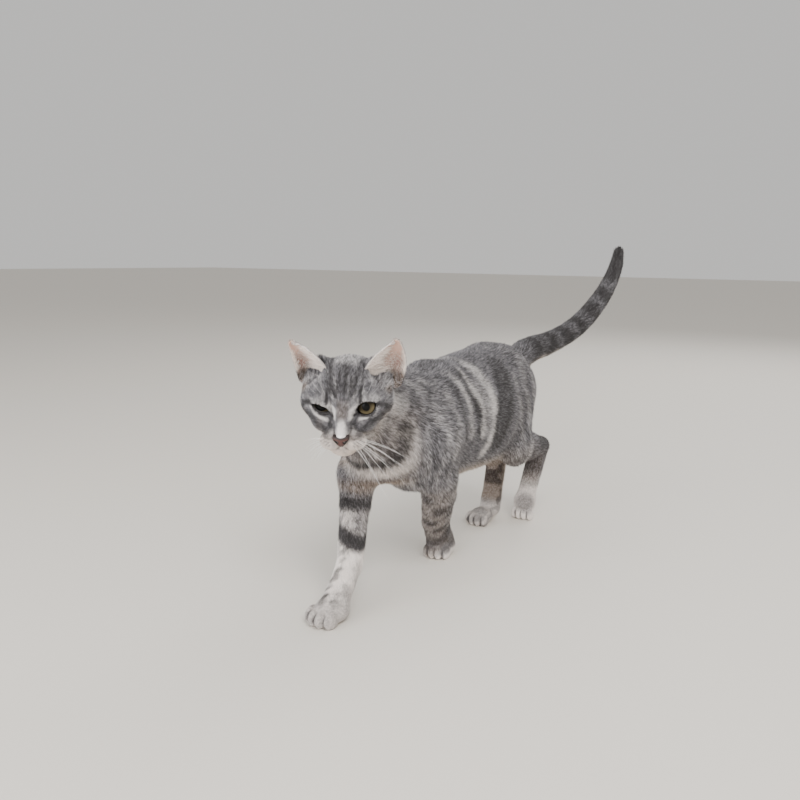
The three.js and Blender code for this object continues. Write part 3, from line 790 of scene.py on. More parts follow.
# Stripes on the flank: a line of y, z points each, half its width and its strength.
DARK_STRIPES = [
    ([(-108, 192), (-110, 178), (-107, 145)], 3, 0.6),
    ([(-92, 196), (-92, 180), (-91, 158)], 3.5, 0.7),
    ([(-70, 214), (-66, 203), (-63.5, 185), (-59, 166), (-57, 148)], 4.6, 0.82),
    ([(-49, 221), (-41, 205), (-32, 185), (-28, 167), (-27, 146)], 4.6, 0.86),
    ([(96, 165), (91, 148), (84, 134), (80, 120)], 6, 0.4),
    ([(-110, 188), (-111, 176), (-111, 158)], 3, 0.5),
    ([(-123, 193), (-128, 179), (-128, 164)], 2, 0.4),
]
PALE_STRIPES = [
    ([(-125, 213), (-111, 206), (-107, 198), (-106, 186), (-108, 172)], 3, 0.32),
    ([(-102, 198), (-102, 180), (-101, 152)], 3.5, 0.25),
    ([(-80, 196), (-80, 178), (-86, 158)], 4, 0.28),
    ([(-60, 222), (-53, 205), (-46, 185), (-43, 168), (-42, 150)], 3.8, 0.42),
    ([(-41, 223), (-32, 205), (-23, 185), (-20, 168), (-19, 146)], 4.2, 0.52),
    ([(-18, 198), (-10, 180), (-8, 160), (-8, 146)], 5, 0.2),
    ([(-9, 224), (-4, 208), (1, 190), (3, 172), (2, 152), (0, 140), (-6, 126)], 7, 0.58),
    ([(70, 172), (80, 156), (70, 146), (63, 135)], 5, 0.13),
    ([(97, 226), (97, 195)], 7, 0.12),
    ([(-118, 185), (-120, 172), (-121, 159)], 2, 0.15),
]
# The broad dark band before the haunch: heights, and the y of its front and its rear edge there.
HAUNCH_BAND = ([123, 137, 160, 183, 200, 215, 226], [1, 2, 4, 9, 18, 30, 38], [30, 36, 54, 57, 58, 63, 66])
# Bands that hang round the chest like necklaces, as x, z points seen from the front.
CHEST_DARK = [
    (-40, 172), (-38, 157), (-36, 147), (-30, 139), (-21, 136), (-6, 136),
    (7, 137), (15, 140), (20, 148), (22, 157), (24, 172),
]
CHEST_PALE = [
    (-44, 167), (-42, 150), (-38, 134), (-28, 125), (-11, 126),
    (10, 126), (20, 135), (25, 149), (27, 157), (25, 167),
]


def streaks(p, long, fine, seed):
    """Fine irregular streaks from -1 to 1 that run along the direction `long`."""
    far = p - 0.86 * dot(p, unit(vec(*long)))[:, None] * unit(vec(*long))
    return wander(far, fine, seed)


def plateau(off, half, soft=0.5):
    return smooth(1 + soft, 1 - soft, off / half)


def striped(place, lines):
    """The strongest of the stripes at each place, each drawn with a wavering edge."""
    p = place.p
    y = p[:, 1] + 1.6 * wander(p, 15, 61) + 1.2 * wander(p, 5, 62)
    wavy = np.stack([np.zeros(len(p)), y, p[:, 2]], 1)
    total = np.zeros(len(p))
    for n, (line, half, strength) in enumerate(lines):
        off = along(wavy, [(0, *point) for point in line])[2]
        broken = mix(0.72, 1, smooth(-0.6, 0.3, wander(p, 14, 63 + n)))
        total = np.maximum(total, strength * broken * plateau(off, half))
    return total


def chest_markings(place):
    p = place.p
    flat = p * vec(1, 0, 1) + 1.3 * np.stack([wander(p, 12, 83), np.zeros(len(p)), wander(p, 12, 84)], 1)
    dark = 0.85 * plateau(along(flat, [(x, 0, z) for x, z in CHEST_DARK])[2], 3.6)
    pale = 0.65 * plateau(along(flat, [(x, 0, z) for x, z in CHEST_PALE])[2], 5.5)
    mottled = wander(p, 7, 82)
    pale = np.maximum(pale, 0.22 * smooth(0.1, 0.8, mottled))
    dark = np.maximum(dark, 0.3 * smooth(-0.1, -0.8, mottled) * smooth(150, 165, p[:, 2]))
    below = smooth(121, 114, p[:, 2])
    warm = np.maximum(below, 0.35 * smooth(160, 130, p[:, 2]))
    pale = np.maximum(pale, 0.6 * bump(108, 9, p[:, 2]))
    pale = pale * (1 - 0.5 * below * smooth(-0.2, 0.7, wander(p, 12, 85)))
    return dark * (1 - below), pale, np.maximum(0.3, warm)


def trunk_markings(place):
    p, height = place.p, place.height
    upper = smooth(1.0, 0.9, height)
    dark = striped(place, DARK_STRIPES) * upper
    pale = striped(place, PALE_STRIPES) * upper
    y = p[:, 1] + 2.2 * wander(p, 22, 51) + 1.3 * wander(p, 6, 52)
    heights, front, rear = HAUNCH_BAND
    into = y - np.interp(p[:, 2], heights, front)
    out_of = np.interp(p[:, 2], heights, rear) - y
    haunch = smooth(-1.5, 4, into) * smooth(-9, 9, out_of)
    haunch = haunch * smooth(116, 128, p[:, 2]) * smooth(230, 208, p[:, 2])
    haunch = haunch * mix(0.8, 1, smooth(-0.5, 0.5, streaks(p, (0, 0.3, 1), 7, 53)))
    dark = np.maximum(dark, 0.8 * haunch)
    pale = pale * (1 - haunch)
    behind = smooth(62, 72, y)
    faint = streaks(p, (0, -0.25, 1), 8, 71)
    dark = np.maximum(dark, 0.32 * smooth(0.1, 0.8, faint) * behind)
    pale = np.maximum(pale, 0.14 * smooth(-0.1, -0.8, faint) * behind)
    shoulder = smooth(-76, -90, y) * smooth(200, 180, p[:, 2])
    faint = streaks(p, (0, -0.1, 1), 5.5, 72)
    dark = np.maximum(dark, 0.5 * smooth(0.0, 0.7, faint) * shoulder)
    pale = np.maximum(pale, 0.34 * smooth(-0.1, -0.7, faint) * shoulder)
    spine = 0.5 * smooth(0.95, 0.995, height) * smooth(16, 7, np.abs(p[:, 0]))
    dark = np.maximum(dark, np.maximum(spine, 0.2 * smooth(0.7, 0.95, height)))
    dark = np.maximum(dark, 0.16 * smooth(0.0, 0.8, wander(p, 7, 73)) * smooth(0.6, 0.9, height))
    belly = smooth(0.2, 0.04, height) * smooth(-62, -50, p[:, 1])
    spots = smooth(0.2, 0.6, wander(p * vec(1, 1, 0), 24, 74)) * belly
    pale = np.maximum(pale * (1 - belly), 0.5 * belly * (1 - 0.7 * spots))
    dark = np.maximum(dark * (1 - belly), 0.4 * spots)
    warm = 0.8 * belly
    chest = smooth(-100, -122, p[:, 1]) * smooth(-46, -34, -np.abs(p[:, 0] + 6)) * smooth(196, 176, p[:, 2])
    return [mix(a, b, chest) for a, b in zip((dark, pale, warm), chest_markings(place))]


def neck_markings(place):
    p = place.p
    front = smooth(-104, -124, p[:, 1]) * smooth(200, 180, p[:, 2]) * smooth(34, 26, p[:, 0])
    faint = streaks(p, (0, 0.35, 1), 6, 81)
    dark = 0.42 * smooth(0.0, 0.7, faint)
    pale = 0.28 * smooth(0.0, -0.7, faint)
    jaw = smooth(38, 16, np.linalg.norm(place.h - vec(30, 22, -22), axis=1))
    dark, pale = dark * (1 - jaw), np.maximum(pale, 0.75 * jaw)
    warm = np.zeros(len(p))
    return [mix(a, b, front) for a, b in zip((dark, pale, warm), chest_markings(place))]


def tail_markings(place):
    t = place.tail[0]
    steps = np.linspace(0, 1, TAIL_STEPS + 1)
    nearest = np.stack([np.interp(t, steps, TAIL_LINE[:, m]) for m in range(3)], 1)
    across = place.p - nearest
    way = place.tail[1]
    dorsal = unit(vec(0, -0.45, 1) - way * dot(way, vec(0, -0.45, 1))[:, None])
    top = dot(unit(across), dorsal)
    rings = smooth(-0.5, 0.7, np.sin(t * 2 * math.pi * 8.2 + 0.9 * wander(place.p, 24, 91)))
    dark = mix(0.5, 0.95, rings) * smooth(-0.9, 0.0, top) + 0.4 * rings * smooth(-0.3, -0.8, top)
    dark = mix(dark, 0.3, smooth(0.2, 0.02, t))
    dark = dark + 0.2 * smooth(0.0, 0.8, wander(place.p, 6, 92))
    dark = np.maximum(dark, 0.95 * smooth(0.8, 0.9, t))
    under = smooth(-0.1, -0.75, top) * smooth(0.88, 0.78, t)
    return np.clip(dark, 0, 1), 0.35 * under * (1 - 0.6 * rings), 0.5 * under


def leg_markings(place, name):
    p = place.p
    s, way, _ = place.legs[name]
    z = p[:, 2] + 2.0 * wander(p, 20, 101)
    to_rear = unit(np.cross(np.cross(way, vec(0, 1, 0)), way))
    line = np.array(leg_line(name))
    starts = np.concatenate([[0], np.cumsum(np.linalg.norm(np.diff(line, axis=0), axis=1))])
    on_line = np.stack([np.interp(s * starts[-1], starts, line[:, m]) for m in range(3)], 1)
    rear = dot(unit(p - on_line), to_rear)
    inner = -np.sign(line[0, 0]) * unit(p - on_line)[:, 0]
    mottled = smooth(-0.2, 0.7, wander(p, 8, 102 + len(name)))
    dark, pale, warm = (np.zeros(len(p)) for _ in range(3))
    if name == "foreleg_right":
        slant = z + 0.35 * (p[:, 0] + 11.5)
        dark = 0.95 * plateau(np.abs(z - 95), 6.2, 0.3) + 0.95 * plateau(np.abs(slant - 65), 6, 0.3)
        low = smooth(60, 56, slant)
        light = smooth(69, 73, slant) * smooth(91, 87, z)
        faint = smooth(0.0, 0.7, streaks(p, (0.3, 0, 1), 4, 109))
        pale = light * mix(0.62, 0.2, smooth(0.0, 0.8, inner)) * (1 - 0.4 * faint) + 0.95 * low
        dark = dark + light * 0.25 * faint
        grey_marks = smooth(-0.1, 0.5, streaks(p, (0.5, -0.4, 0.8), 3.8, 103))
        dark = dark + low * grey_marks * mix(0.3, 0.7, smooth(0.8, -0.1, inner)) * smooth(14, 24, z)
        # Towards the floor the paw is greyed unevenly and made less pale, as painted shade round the toes.
        dark = dark + 0.22 * smooth(36, 20, z) * mix(0.6, 1.3, mottled)
        pale = pale * (1 - 0.3 * smooth(34, 18, z))
        above = smooth(101, 107, z)
        warm = 0.7 * above * smooth(-0.5, 0.5, wander(p, 14, 104))
        dark = dark + above * 0.4 * smooth(-0.1, 0.6, streaks(p, (0.2, 0, 1), 6, 106))
        pale = pale + above * 0.22 * smooth(0.0, -0.7, wander(p, 9, 107))
    elif name == "foreleg_left":
        diagonal = smooth(-0.3, 0.5, streaks(p, (0.1, 0.6, 0.8), 8, 108))
        front = smooth(0.1, -0.5, rear)
        olive = np.maximum(smooth(0.0, 0.6, inner), front) * smooth(108, 92, z)
        dark = mix(0.0, 0.5, diagonal) * smooth(112, 96, z) * smooth(16, 26, z)
        behind = smooth(0.25, 0.7, rear) * smooth(75, 60, z)
        dark = dark * (1 - 0.85 * behind)
        pale = 0.7 * behind + 0.55 * smooth(15, 4, z)
        pale = pale + mix(0.16, 0.5, smooth(80, 105, z)) * (1 - diagonal) * (1 - behind)
        warm = 0.4 * olive * (1 - behind)
        dark = np.maximum(dark, 0.5 * smooth(34, 24, z) * smooth(8, 16, z))
    elif name == "hindleg_right":
        slanting = z - 0.5 * p[:, 1]
        bars = smooth(-0.6, 0.9, np.sin(slanting / 4.4 + 1.2 + 2.4 * wander(p, 14, 104)))
        behind = smooth(0.0, 0.6, rear)
        dark = 0.26 * bars * smooth(18, 26, z) * smooth(120, 95, z) * (1 - 0.9 * behind)
        warm = 0.75 * smooth(18, 30, z) * smooth(130, 100, z) * (1 - 0.4 * behind)
        pale = np.maximum(0.75 * behind * smooth(95, 70, z), 0.3 * smooth(25, 18, z)) + 0.34 * (1 - bars)
    else:
        hock = vec(*LEGS[name]["joints"][2])
        spot = smooth(18, 9, np.linalg.norm((p - hock - vec(10, 0, 12)) / vec(1.3, 1.6, 1.1), axis=1))
        higher = np.linalg.norm((p - vec(46, 160, 105)) / vec(1, 1.5, 1), axis=1)
        spot = np.maximum(spot, smooth(17, 9, higher))
        front = smooth(0.1, -0.5, rear)
        dark = np.maximum(0.8 * spot, 0.35 * mottled * smooth(52, 95, z))
        dark = np.maximum(dark, 0.35 * bump(48, 9, z))
        patch = smooth(17, 8, np.linalg.norm(p - vec(28, 155, 23), axis=1))
        pale = 0.72 * smooth(66, 42, z) * (1 - 0.7 * patch)
        pale = pale + 0.35 * smooth(0.2, 0.7, rear) * smooth(95, 70, z)
        warm = np.maximum(0.4 * front * smooth(92, 75, z) * smooth(40, 55, z), 0.15 * smooth(60, 30, z))
        dark = np.maximum(dark, 0.3 * front * smooth(86, 70, z) * smooth(40, 55, z))
    # Two toes are equally near along the fold between them; there the coat is darkened as painted shade.
    toes = [np.linalg.norm((p - vec(*toe)) * vec(1, 0.8, 0.6), axis=1) for toe in toe_places(LEGS[name])]
    toes = np.sort(toes, axis=0)
    crease_shade = smooth(1.9, 0.5, toes[1] - toes[0]) * smooth(9, 7, toes[0]) * smooth(15, 9, p[:, 2])
    dark, pale = np.maximum(dark, 0.7 * crease_shade), pale * (1 - 0.9 * crease_shade)
    warm = np.maximum(warm, 0.2 * smooth(130, 90, z))
    high = smooth(0.38, 0.2, s)
    faint = streaks(p, (0, -0.2, 1), 6, 105)
    dark = mix(dark, 0.36 * smooth(0.0, 0.7, faint), high)
    inner_thigh = smooth(0.3, 0.9, inner)
    warm = np.maximum(warm, 0.7 * inner_thigh * high)
    on_thigh = np.maximum(0.35 * inner_thigh, 0.16 * smooth(0.0, -0.7, faint))
    pale = np.maximum(pale * (1 - high), on_thigh * high)
    if name.startswith("hind"):  # the flank's broad band and streaks run on over the thigh
        flank = trunk_markings(place)
        outside = high * smooth(0.3, -0.3, inner)
        dark, pale = mix(dark, flank[0], outside), mix(pale, flank[1], outside)
    return np.clip(dark, 0, 1), np.clip(pale, 0, 1), np.clip(warm, 0, 1)


# Lines and spots of the face: x, z points of its left side in the head's frame, half the width and strength.
FACE_DARK = [
    ([(14.2, 16), (14.6, 10), (14.5, 5.5)], 1.5, 0.85),
    ([(12.8, 31), (10.8, 23), (8.4, 17), (6.2, 12.5)], 2.2, 0.8),
    ([(2.2, 33), (1.8, 25), (1.5, 16)], 2.4, 0.62),
    ([(19, 33), (18, 25), (17.5, 20)], 1.5, 0.35),
    ([(30, 4.8), (36, 1.9), (39.8, -9)], 1.7, 1.0),
    ([(34, -6), (28, -9.2), (24, -11), (18.6, -14.2), (15.5, -18)], 2.6, 0.8),
    ([(8.5, -12), (11.5, -17), (14, -19.5)], 2.0, 0.5),
    ([(12.4, -8.4), (11.8, -12), (11.1, -15.6)], 1.2, 0.65),
    ([(7.4, -10), (7.6, -14), (7.2, -17.3)], 1.4, 0.5),
    ([(31, -25), (35, -22.5), (36.4, -19), (34.5, -15), (31.5, -12)], 1.5, 0.8),
    ([(10.4, -4.6), (8.8, -6.6)], 1.1, 0.9),
    ([(21, 11)], 1.8, 0.35),
    ([(25, 11.4)], 1.5, 0.3),
    ([(28, 19), (34, 14), (38, 9)], 2.0, 0.3),
]
FACE_PALE = [
    ([(13.8, 4.4), (9.8, 2.2), (7.3, 0), (7.4, -6.5)], 1.7, 0.95),
    ([(28.4, 1.2), (26.2, -3.8), (20.4, -6.7), (14, -8.2)], 1.05, 0.95),
    ([(8.8, 25.5), (6.5, 20), (4.6, 15)], 0.9, 0.35),
    ([(10.9, 15.6), (7.6, 7.9)], 1.4, 0.3),
    ([(17, 14), (18, 9), (24, 7.5)], 2.0, 0.25),
    ([(10, -18), (14, -22), (19.5, -25)], 2.6, 0.6),
    ([(25, 24), (31.8, 19), (38, 13)], 3.4, 0.5),
]


def head_markings(place):
    h = place.h
    x, z = np.abs(h[:, 0]), h[:, 2]
    wavy = np.stack([x + 0.5 * wander(h, 9, 111), np.zeros(len(x)), z + 0.7 * wander(h, 11, 112)], 1)
    front = smooth(34, 22, h[:, 1])

    def drawn(lines):
        total = np.zeros(len(x))
        for line, half, strength in lines:
            if len(line) == 1:
                off = np.hypot(wavy[:, 0] - line[0][0], wavy[:, 2] - line[0][1])
            else:
                off = along(wavy, [(a, 0, b) for a, b in line])[2]
            total = np.maximum(total, strength * plateau(off, half, 0.6))
        return total * front

    def spot(cx, cz, rx, rz, soft=0.45):
        return smooth(1, soft, np.hypot((x - cx) / rx, (z - cz) / rz))

    dark = drawn(FACE_DARK)
    ticked = wander(h, 4, 113)
    dark = np.maximum(dark, 0.12 + 0.14 * smooth(0.0, 0.8, ticked))
    brow = smooth(22, 14, x) * smooth(9, 17, z) * smooth(44, 30, h[:, 1])
    dark = np.maximum(dark, 0.8 * brow * smooth(-0.25, 0.35, streaks(h, (0.15, -0.4, 1), 3.4, 114)))
    crown = smooth(10, 20, h[:, 1]) * smooth(14, 24, z)
    dark = dark * (1 - 0.75 * crown * smooth(16, 6, x)) + 0.3 * crown * smooth(13, 22, x)
    off = (np.stack([x, h[:, 1], z], 1) - vec(39.6, 15, 12.5)) / vec(5, 8, 6.5)
    under_ear = smooth(1.3, 0.6, np.linalg.norm(off, axis=1))

    pale = drawn(FACE_PALE)
    lids = np.zeros(len(x))
    pale = np.maximum(pale, 0.14 * smooth(0.1, -0.8, ticked))
    for side, s in SIDES.items():
        out, up, _ = eye_axes(side)
        opening = EYE_OPENING[side]
        q = h - eye_centre(side)
        near = np.hypot(q @ out / (opening["half"] + 2.6), (q @ up) / (opening["above"] + 3.2))
        ring = smooth(1.4, 1.0, near) * (np.sign(h[:, 0]) == s) * smooth(-1, 2, q @ up) * front
        pale = np.maximum(pale, 0.4 * ring)
        rim = smooth(0.9, 0.4, eye_opening(side)(h)) * (np.linalg.norm(q, axis=1) < EYE_RADIUS + 5)
        lids = np.maximum(lids, rim)
    half = np.interp(z, [-17, -11, -5], [5.2, 3.9, 2.4])
    bridge = plateau(x, half, 0.4) * smooth(-2, -9, z) * smooth(-25, -22, z) * front
    pale = np.maximum(pale, bridge)
    pale = np.maximum(pale, smooth(-6, -13, h[:, 1]) * smooth(-19, -23.5, z))
    pale = np.maximum(pale, 0.95 * smooth(-25, -31, z) * smooth(30, 8, h[:, 1]))
    pale = np.maximum(pale, 0.4 * smooth(29, 35, x) * smooth(-6, -10, z) * smooth(-24, -18, z) * (1 - dark))
    pale = np.maximum(pale, 0.3 * spot(27, -18, 7, 4) * front * (1 - dark))
    pale = np.maximum(pale, 0.36 * crown * smooth(15, 9, x))
    jowl = 0.75 * smooth(-6, 10, h[:, 1]) * smooth(-12, -18, z) * smooth(-40, -26, z) * smooth(18, 26, x)
    pale = np.maximum(pale, jowl)
    pale = pale * (1 - 0.85 * np.clip(dark * smooth(-26, -22, z), 0, 1))
    for row_z, start in WHISKER_ROWS[:3]:  # dark dots along the upper rows
        for k in range(4):
            off = np.hypot(x - (start + WHISKER_STEP * k), z - row_z - WHISKER_DIP * k)
            dark = np.maximum(dark, 0.85 * smooth(1.15, 0.5, off) * smooth(2, -6, h[:, 1]))
    lips = np.minimum(off_mouth(h), along(h, [(0, -28, -27), (0, -26, -31)])[2])
    dark = np.maximum(dark * (1 - 0.8 * bridge), 0.7 * under_ear)
    dark = np.maximum(dark, 0.85 * smooth(1.4, 0.5, lips))
    dark = np.maximum(dark, 0.97 * lids)
    pale = pale * (1 - lids)
    between_eyes = 0.35 * smooth(7, 3, x) * smooth(-7, -2, z) * smooth(13, 3, z) * front
    warm = np.maximum(0.8 * under_ear, between_eyes)
    cheek = smooth(14, 24, x) * smooth(2, -8, z)
    warm = np.maximum(warm, 0.3 * cheek * smooth(-0.3, 0.6, wander(h, 12, 115)))
    chin = smooth(-28, -32, z) * smooth(2, -10, h[:, 1])
    warm = np.maximum(warm, 0.4 * smooth(-4, -12, h[:, 1]) * smooth(-16, -21, z))
    return np.clip(dark, 0, 1), np.clip(pale, 0, 1), np.clip(np.maximum(warm, 0.6 * chin), 0, 1)


def markings(place):
    """How dark, how pale and how brown the coat is."""
    on_part = {"trunk": trunk_markings, "neck": neck_markings, "head": head_markings, "tail": tail_markings}
    total = np.zeros((len(place.p), 3))
    for name in PARTS:
        mark = on_part[name](place) if name in on_part else leg_markings(place, name)
        total += place.share[name][:, None] * np.stack(mark, 1)
    return np.clip(total, 0, 1)


# ---------------------------------------------------------------- nodes, as expressions

class Nodes:
    """A node tree, with one method that adds any node and feeds its sockets."""

    def __init__(self, tree):
        self.nodes, self.links = tree.nodes, tree.links

    def node(self, kind, settings=None, inputs=None, output=0):
        node = self.nodes.new(kind)
        for key, value in (settings or {}).items():
            setattr(node, key, value)
        for key, value in (inputs or {}).items():
            self.feed(node.inputs[key], value)
        return Value(self, node.outputs[output])

    def feed(self, socket, value):
        if isinstance(value, Value):
            self.links.new(value.socket, socket)
        else:
            socket.default_value = value

    def vector(self, operation, a, b=None, scale=None):
        inputs = {0: a}
        if b is not None:
            inputs[1] = b
        if scale is not None:
            inputs["Scale"] = scale
        return self.node("ShaderNodeVectorMath", {"operation": operation}, inputs)

    def joined(self, x, y, z):
        return self.node("ShaderNodeCombineXYZ", {}, {0: x, 1: y, 2: z})

    def mixed(self, a, b, share):
        return self.node("ShaderNodeMix", {"data_type": "RGBA"}, {0: share, 6: a, 7: b}, output=2)


class Value:
    """One output socket. Adding, multiplying and so on adds the Math nodes."""

    def __init__(self, graph, socket):
        self.graph, self.socket = graph, socket

    def math(self, operation, other, swapped=False, clamp=False):
        a, b = (other, self) if swapped else (self, other)
        return self.graph.node("ShaderNodeMath", {"operation": operation, "use_clamp": clamp}, {0: a, 1: b})

    def __add__(self, other):
        return self.math("ADD", other)

    def __sub__(self, other):
        return self.math("SUBTRACT", other)

    def __mul__(self, other):
        return self.math("MULTIPLY", other)

    def __truediv__(self, other):
        return self.math("DIVIDE", other)

    def __pow__(self, other):
        return self.math("POWER", other)

    def __radd__(self, other):
        return self.math("ADD", other, True)

    def __rsub__(self, other):
        return self.math("SUBTRACT", other, True)

    def __rmul__(self, other):
        return self.math("MULTIPLY", other, True)

    def output(self, name):
        return Value(self.graph, self.socket.node.outputs[name])

    def clamped(self):
        return self.math("ADD", 0.0, clamp=True)

    def between(self, low, high):
        """0 at low and 1 at high, eased."""
        return self.graph.node("ShaderNodeMapRange", {"interpolation_type": "SMOOTHSTEP"},
                               {"Value": self, "From Min": low, "From Max": high})


class Shade(Nodes):
    """A material and its nodes."""

    def __init__(self, name):
        self.material = bpy.data.materials.new(name)
        self.material.use_nodes = True
        super().__init__(self.material.node_tree)
        self.shader = self.nodes["Principled BSDF"]

    def set(self, **values):
        for key, value in values.items():
            self.feed(self.shader.inputs[key.replace("_", " ")], value)

    def attribute(self, name, output="Fac"):
        return self.node("ShaderNodeAttribute", {"attribute_name": name}, output=output)

    def noise(self, scale, detail=3.0):
        place = self.node("ShaderNodeTexCoord", output="Object")
        return self.node("ShaderNodeTexNoise", {}, {"Vector": place, "Scale": scale, "Detail": detail})

    def bumped(self, height, strength, distance):
        return self.node("ShaderNodeBump", {}, {"Strength": strength, "Distance": distance, "Height": height})


# ---------------------------------------------------------------- materials

GREY = (0.136, 0.131, 0.141, 1)
DARK = (0.028, 0.025, 0.025, 1)
PALE = (0.85, 0.81, 0.785, 1)
CREAM = (0.70, 0.52, 0.38, 1)
BROWN = (0.175, 0.112, 0.066, 1)
SILVER = (0.50, 0.48, 0.50, 1)
FLESH = (0.53, 0.335, 0.265, 1)
FLESH_IN_SHADE = (0.21, 0.11, 0.09, 1)

HAZEL = (0.070, 0.054, 0.028, 1)
HAZEL_RIM = (0.170, 0.138, 0.078, 1)
LID_SHADOW = (0.016, 0.012, 0.008, 1)
IRIS_STREAK = (0.035, 0.028, 0.014, 1)
IRIS_EDGE = (0.008, 0.007, 0.006, 1)
PUPIL = (0.003, 0.003, 0.003, 1)

LEATHER = (0.066, 0.023, 0.019, 1)
LEATHER_EDGE = (0.016, 0.008, 0.007, 1)
NOSTRIL_SHADE = (0.010, 0.006, 0.005, 1)


def coat_colour(shade, grain):
    """The tabby's colours, mixed by the marks of skin and tufts. grain is a tuft's own value from 0 to 1."""
    marks = shade.node("ShaderNodeSeparateColor", {}, {"Color": shade.attribute("marks", "Color")})
    dark, pale, warm = (marks.output(name) for name in ("Red", "Green", "Blue"))
    ground = shade.mixed(GREY, BROWN, (warm * 0.9).clamped())
    ground = shade.mixed(ground, SILVER, grain.between(0.5, 0.9) * 0.5)
    ground = shade.mixed(ground, DARK, grain.between(0.5, 0.1) * 0.7)
    darkness = (dark * 1.12 + (0.5 - grain) * 0.55 * (dark * 4).clamped()).clamped()
    paleness = (pale * 1.1 + (grain - 0.5) * 0.5 * (pale * 4).clamped()).clamped()
    light = shade.mixed(PALE, CREAM, (warm * 0.75).clamped())
    return shade.mixed(shade.mixed(ground, light, paleness), DARK, darkness * 0.93)


def coat_material():
    shade = Shade("tabby coat")
    colour = coat_colour(shade, shade.attribute("grain"))
    colour = shade.mixed(colour, DARK, shade.attribute("tip").between(0.65, 1.0) * 0.22)
    shade.set(Base_Color=colour, Roughness=0.6, Specular_IOR_Level=0.3)
    return shade.material


def skin_material():
    shade = Shade("skin under the coat")
    fine = shade.noise(900.0, 4.0)
    colour = coat_colour(shade, fine.between(0.36, 0.64))
    # Bare skin darkens deep in the ears' cups as painted shade.
    flesh = shade.mixed(FLESH, FLESH_IN_SHADE, shade.attribute("cup_shade"))
    colour = shade.mixed(colour, flesh, shade.attribute("bare"))
    shade.set(Base_Color=colour, Roughness=0.7, Specular_IOR_Level=0.25,
              Normal=shade.bumped(fine, 0.35, 0.0006))
    return shade.material


def eye_material():
    """gaze holds how far out and up from the middle of its look a point of the eyeball is, in radiuses."""
    shade = Shade("hazel iris under a wet cornea")
    gaze = shade.node("ShaderNodeSeparateXYZ", {}, {0: shade.attribute("gaze", "Vector")})
    across, up = gaze * EYE_RADIUS - 0.6, gaze.output("Y") * EYE_RADIUS - 1.7
    far = (across * across + up * up) ** 0.5
    turn = shade.node("ShaderNodeMath", {"operation": "ARCTAN2"}, {0: up, 1: across})
    streaks = shade.node("ShaderNodeTexNoise", {"noise_dimensions": "2D"}, {
        "Vector": shade.joined(turn * 7, far * 0.35, 0.0), "Scale": 2.2, "Detail": 3.0})
    pupil = ((across / 3.2) ** 2 + (up / 3.6) ** 2) ** 0.5
    iris = shade.mixed(HAZEL, HAZEL_RIM, far.between(3.4, 6.2))
    iris = shade.mixed(iris, LID_SHADOW, up.between(-5.0, 1.0) * 0.92)
    iris = shade.mixed(iris, IRIS_STREAK, streaks.between(0.5, 0.75) * 0.5)
    iris = shade.mixed(iris, IRIS_EDGE, far.between(6.7, 7.9))
    colour = shade.mixed(iris, PUPIL, pupil.between(1.06, 0.94))
    shade.set(Base_Color=colour, Roughness=0.7, Specular_IOR_Level=0.04,
              Coat_Weight=0.14, Coat_Roughness=0.05)
    return shade.material


def nose_material():
    shade = Shade("pebbled nose leather")
    pebbles = shade.node("ShaderNodeTexVoronoi", {}, {
        "Vector": shade.node("ShaderNodeTexCoord", output="Object"), "Scale": 1500.0})
    edge = shade.attribute("edge")
    hollow = shade.attribute("hollow")
    colour = shade.mixed(LEATHER, LEATHER_EDGE, edge)
    # The nostrils and the leather round them are darkened as painted shade.
    colour = shade.mixed(colour, NOSTRIL_SHADE, hollow)
    shade.set(Base_Color=colour, Roughness=0.42, Specular_IOR_Level=0.5,
              Normal=shade.bumped(pebbles, 0.4, 0.0003))
    return shade.material


def plain_material(name, colour, roughness, **extra):
    shade = Shade(name)
    shade.set(Base_Color=(*colour, 1), Roughness=roughness, **extra)
    return shade.material


COAT_MATERIAL = coat_material()
SKIN_MATERIAL = skin_material()
EYE_MATERIAL = eye_material()
NOSE_MATERIAL = nose_material()
RIM_MATERIAL = plain_material("dark lid rim", (0.012, 0.009, 0.008), 0.35)
WHISKER_MATERIAL = plain_material("white whisker", (0.82, 0.80, 0.78), 0.35)
FLOOR_MATERIAL = plain_material("pale floor", (0.70, 0.66, 0.60), 0.6)


# ---------------------------------------------------------------- meshes

def to_frame(p):
    """From the cat's own millimetres to the frame's metres."""
    return (np.asarray(p, float) + SHIFT) * MM


def mesh_object(name, points, faces, material):
    mesh = bpy.data.meshes.new(name)
    faces = np.asarray(faces, np.int32)
    mesh.vertices.add(len(points))
    mesh.vertices.foreach_set("co", to_frame(points).astype(np.float32).ravel())
    mesh.loops.add(faces.size)
    mesh.loops.foreach_set("vertex_index", faces.ravel())
    mesh.polygons.add(len(faces))
    mesh.polygons.foreach_set("loop_start", np.arange(0, faces.size, faces.shape[1], dtype=np.int32))
    mesh.update(calc_edges=True)
    mesh.validate()
    mesh.shade_smooth()
    mesh.materials.append(material)
    thing = bpy.data.objects.new(name, mesh)
    bpy.context.collection.objects.link(thing)
    return thing


def store(thing, name, kind, values):
    attribute = thing.data.attributes.new(name, kind, "POINT")
    key = {"FLOAT": "value", "FLOAT_VECTOR": "vector", "FLOAT_COLOR": "color"}[kind]
    attribute.data.foreach_set(key, np.asarray(values, np.float32).ravel())


def store_marks(thing, marks, name="marks"):
    store(thing, name, "FLOAT_COLOR", np.concatenate([marks, np.ones((len(marks), 1))], 1))


def unwrap(thing):
    """A UV map named OFBake: the shape's own faces laid out flat."""
    bpy.ops.object.select_all(action="DESELECT")
    thing.select_set(True)
    bpy.context.view_layer.objects.active = thing
    while thing.data.uv_layers:
        thing.data.uv_layers.remove(thing.data.uv_layers[0])
    thing.data.uv_layers.new(name="OFBake")
    bpy.ops.object.mode_set(mode="EDIT")
    bpy.ops.mesh.select_all(action="SELECT")
    bpy.ops.uv.smart_project(angle_limit=math.radians(66), island_margin=0.002)
    bpy.ops.object.mode_set(mode="OBJECT")


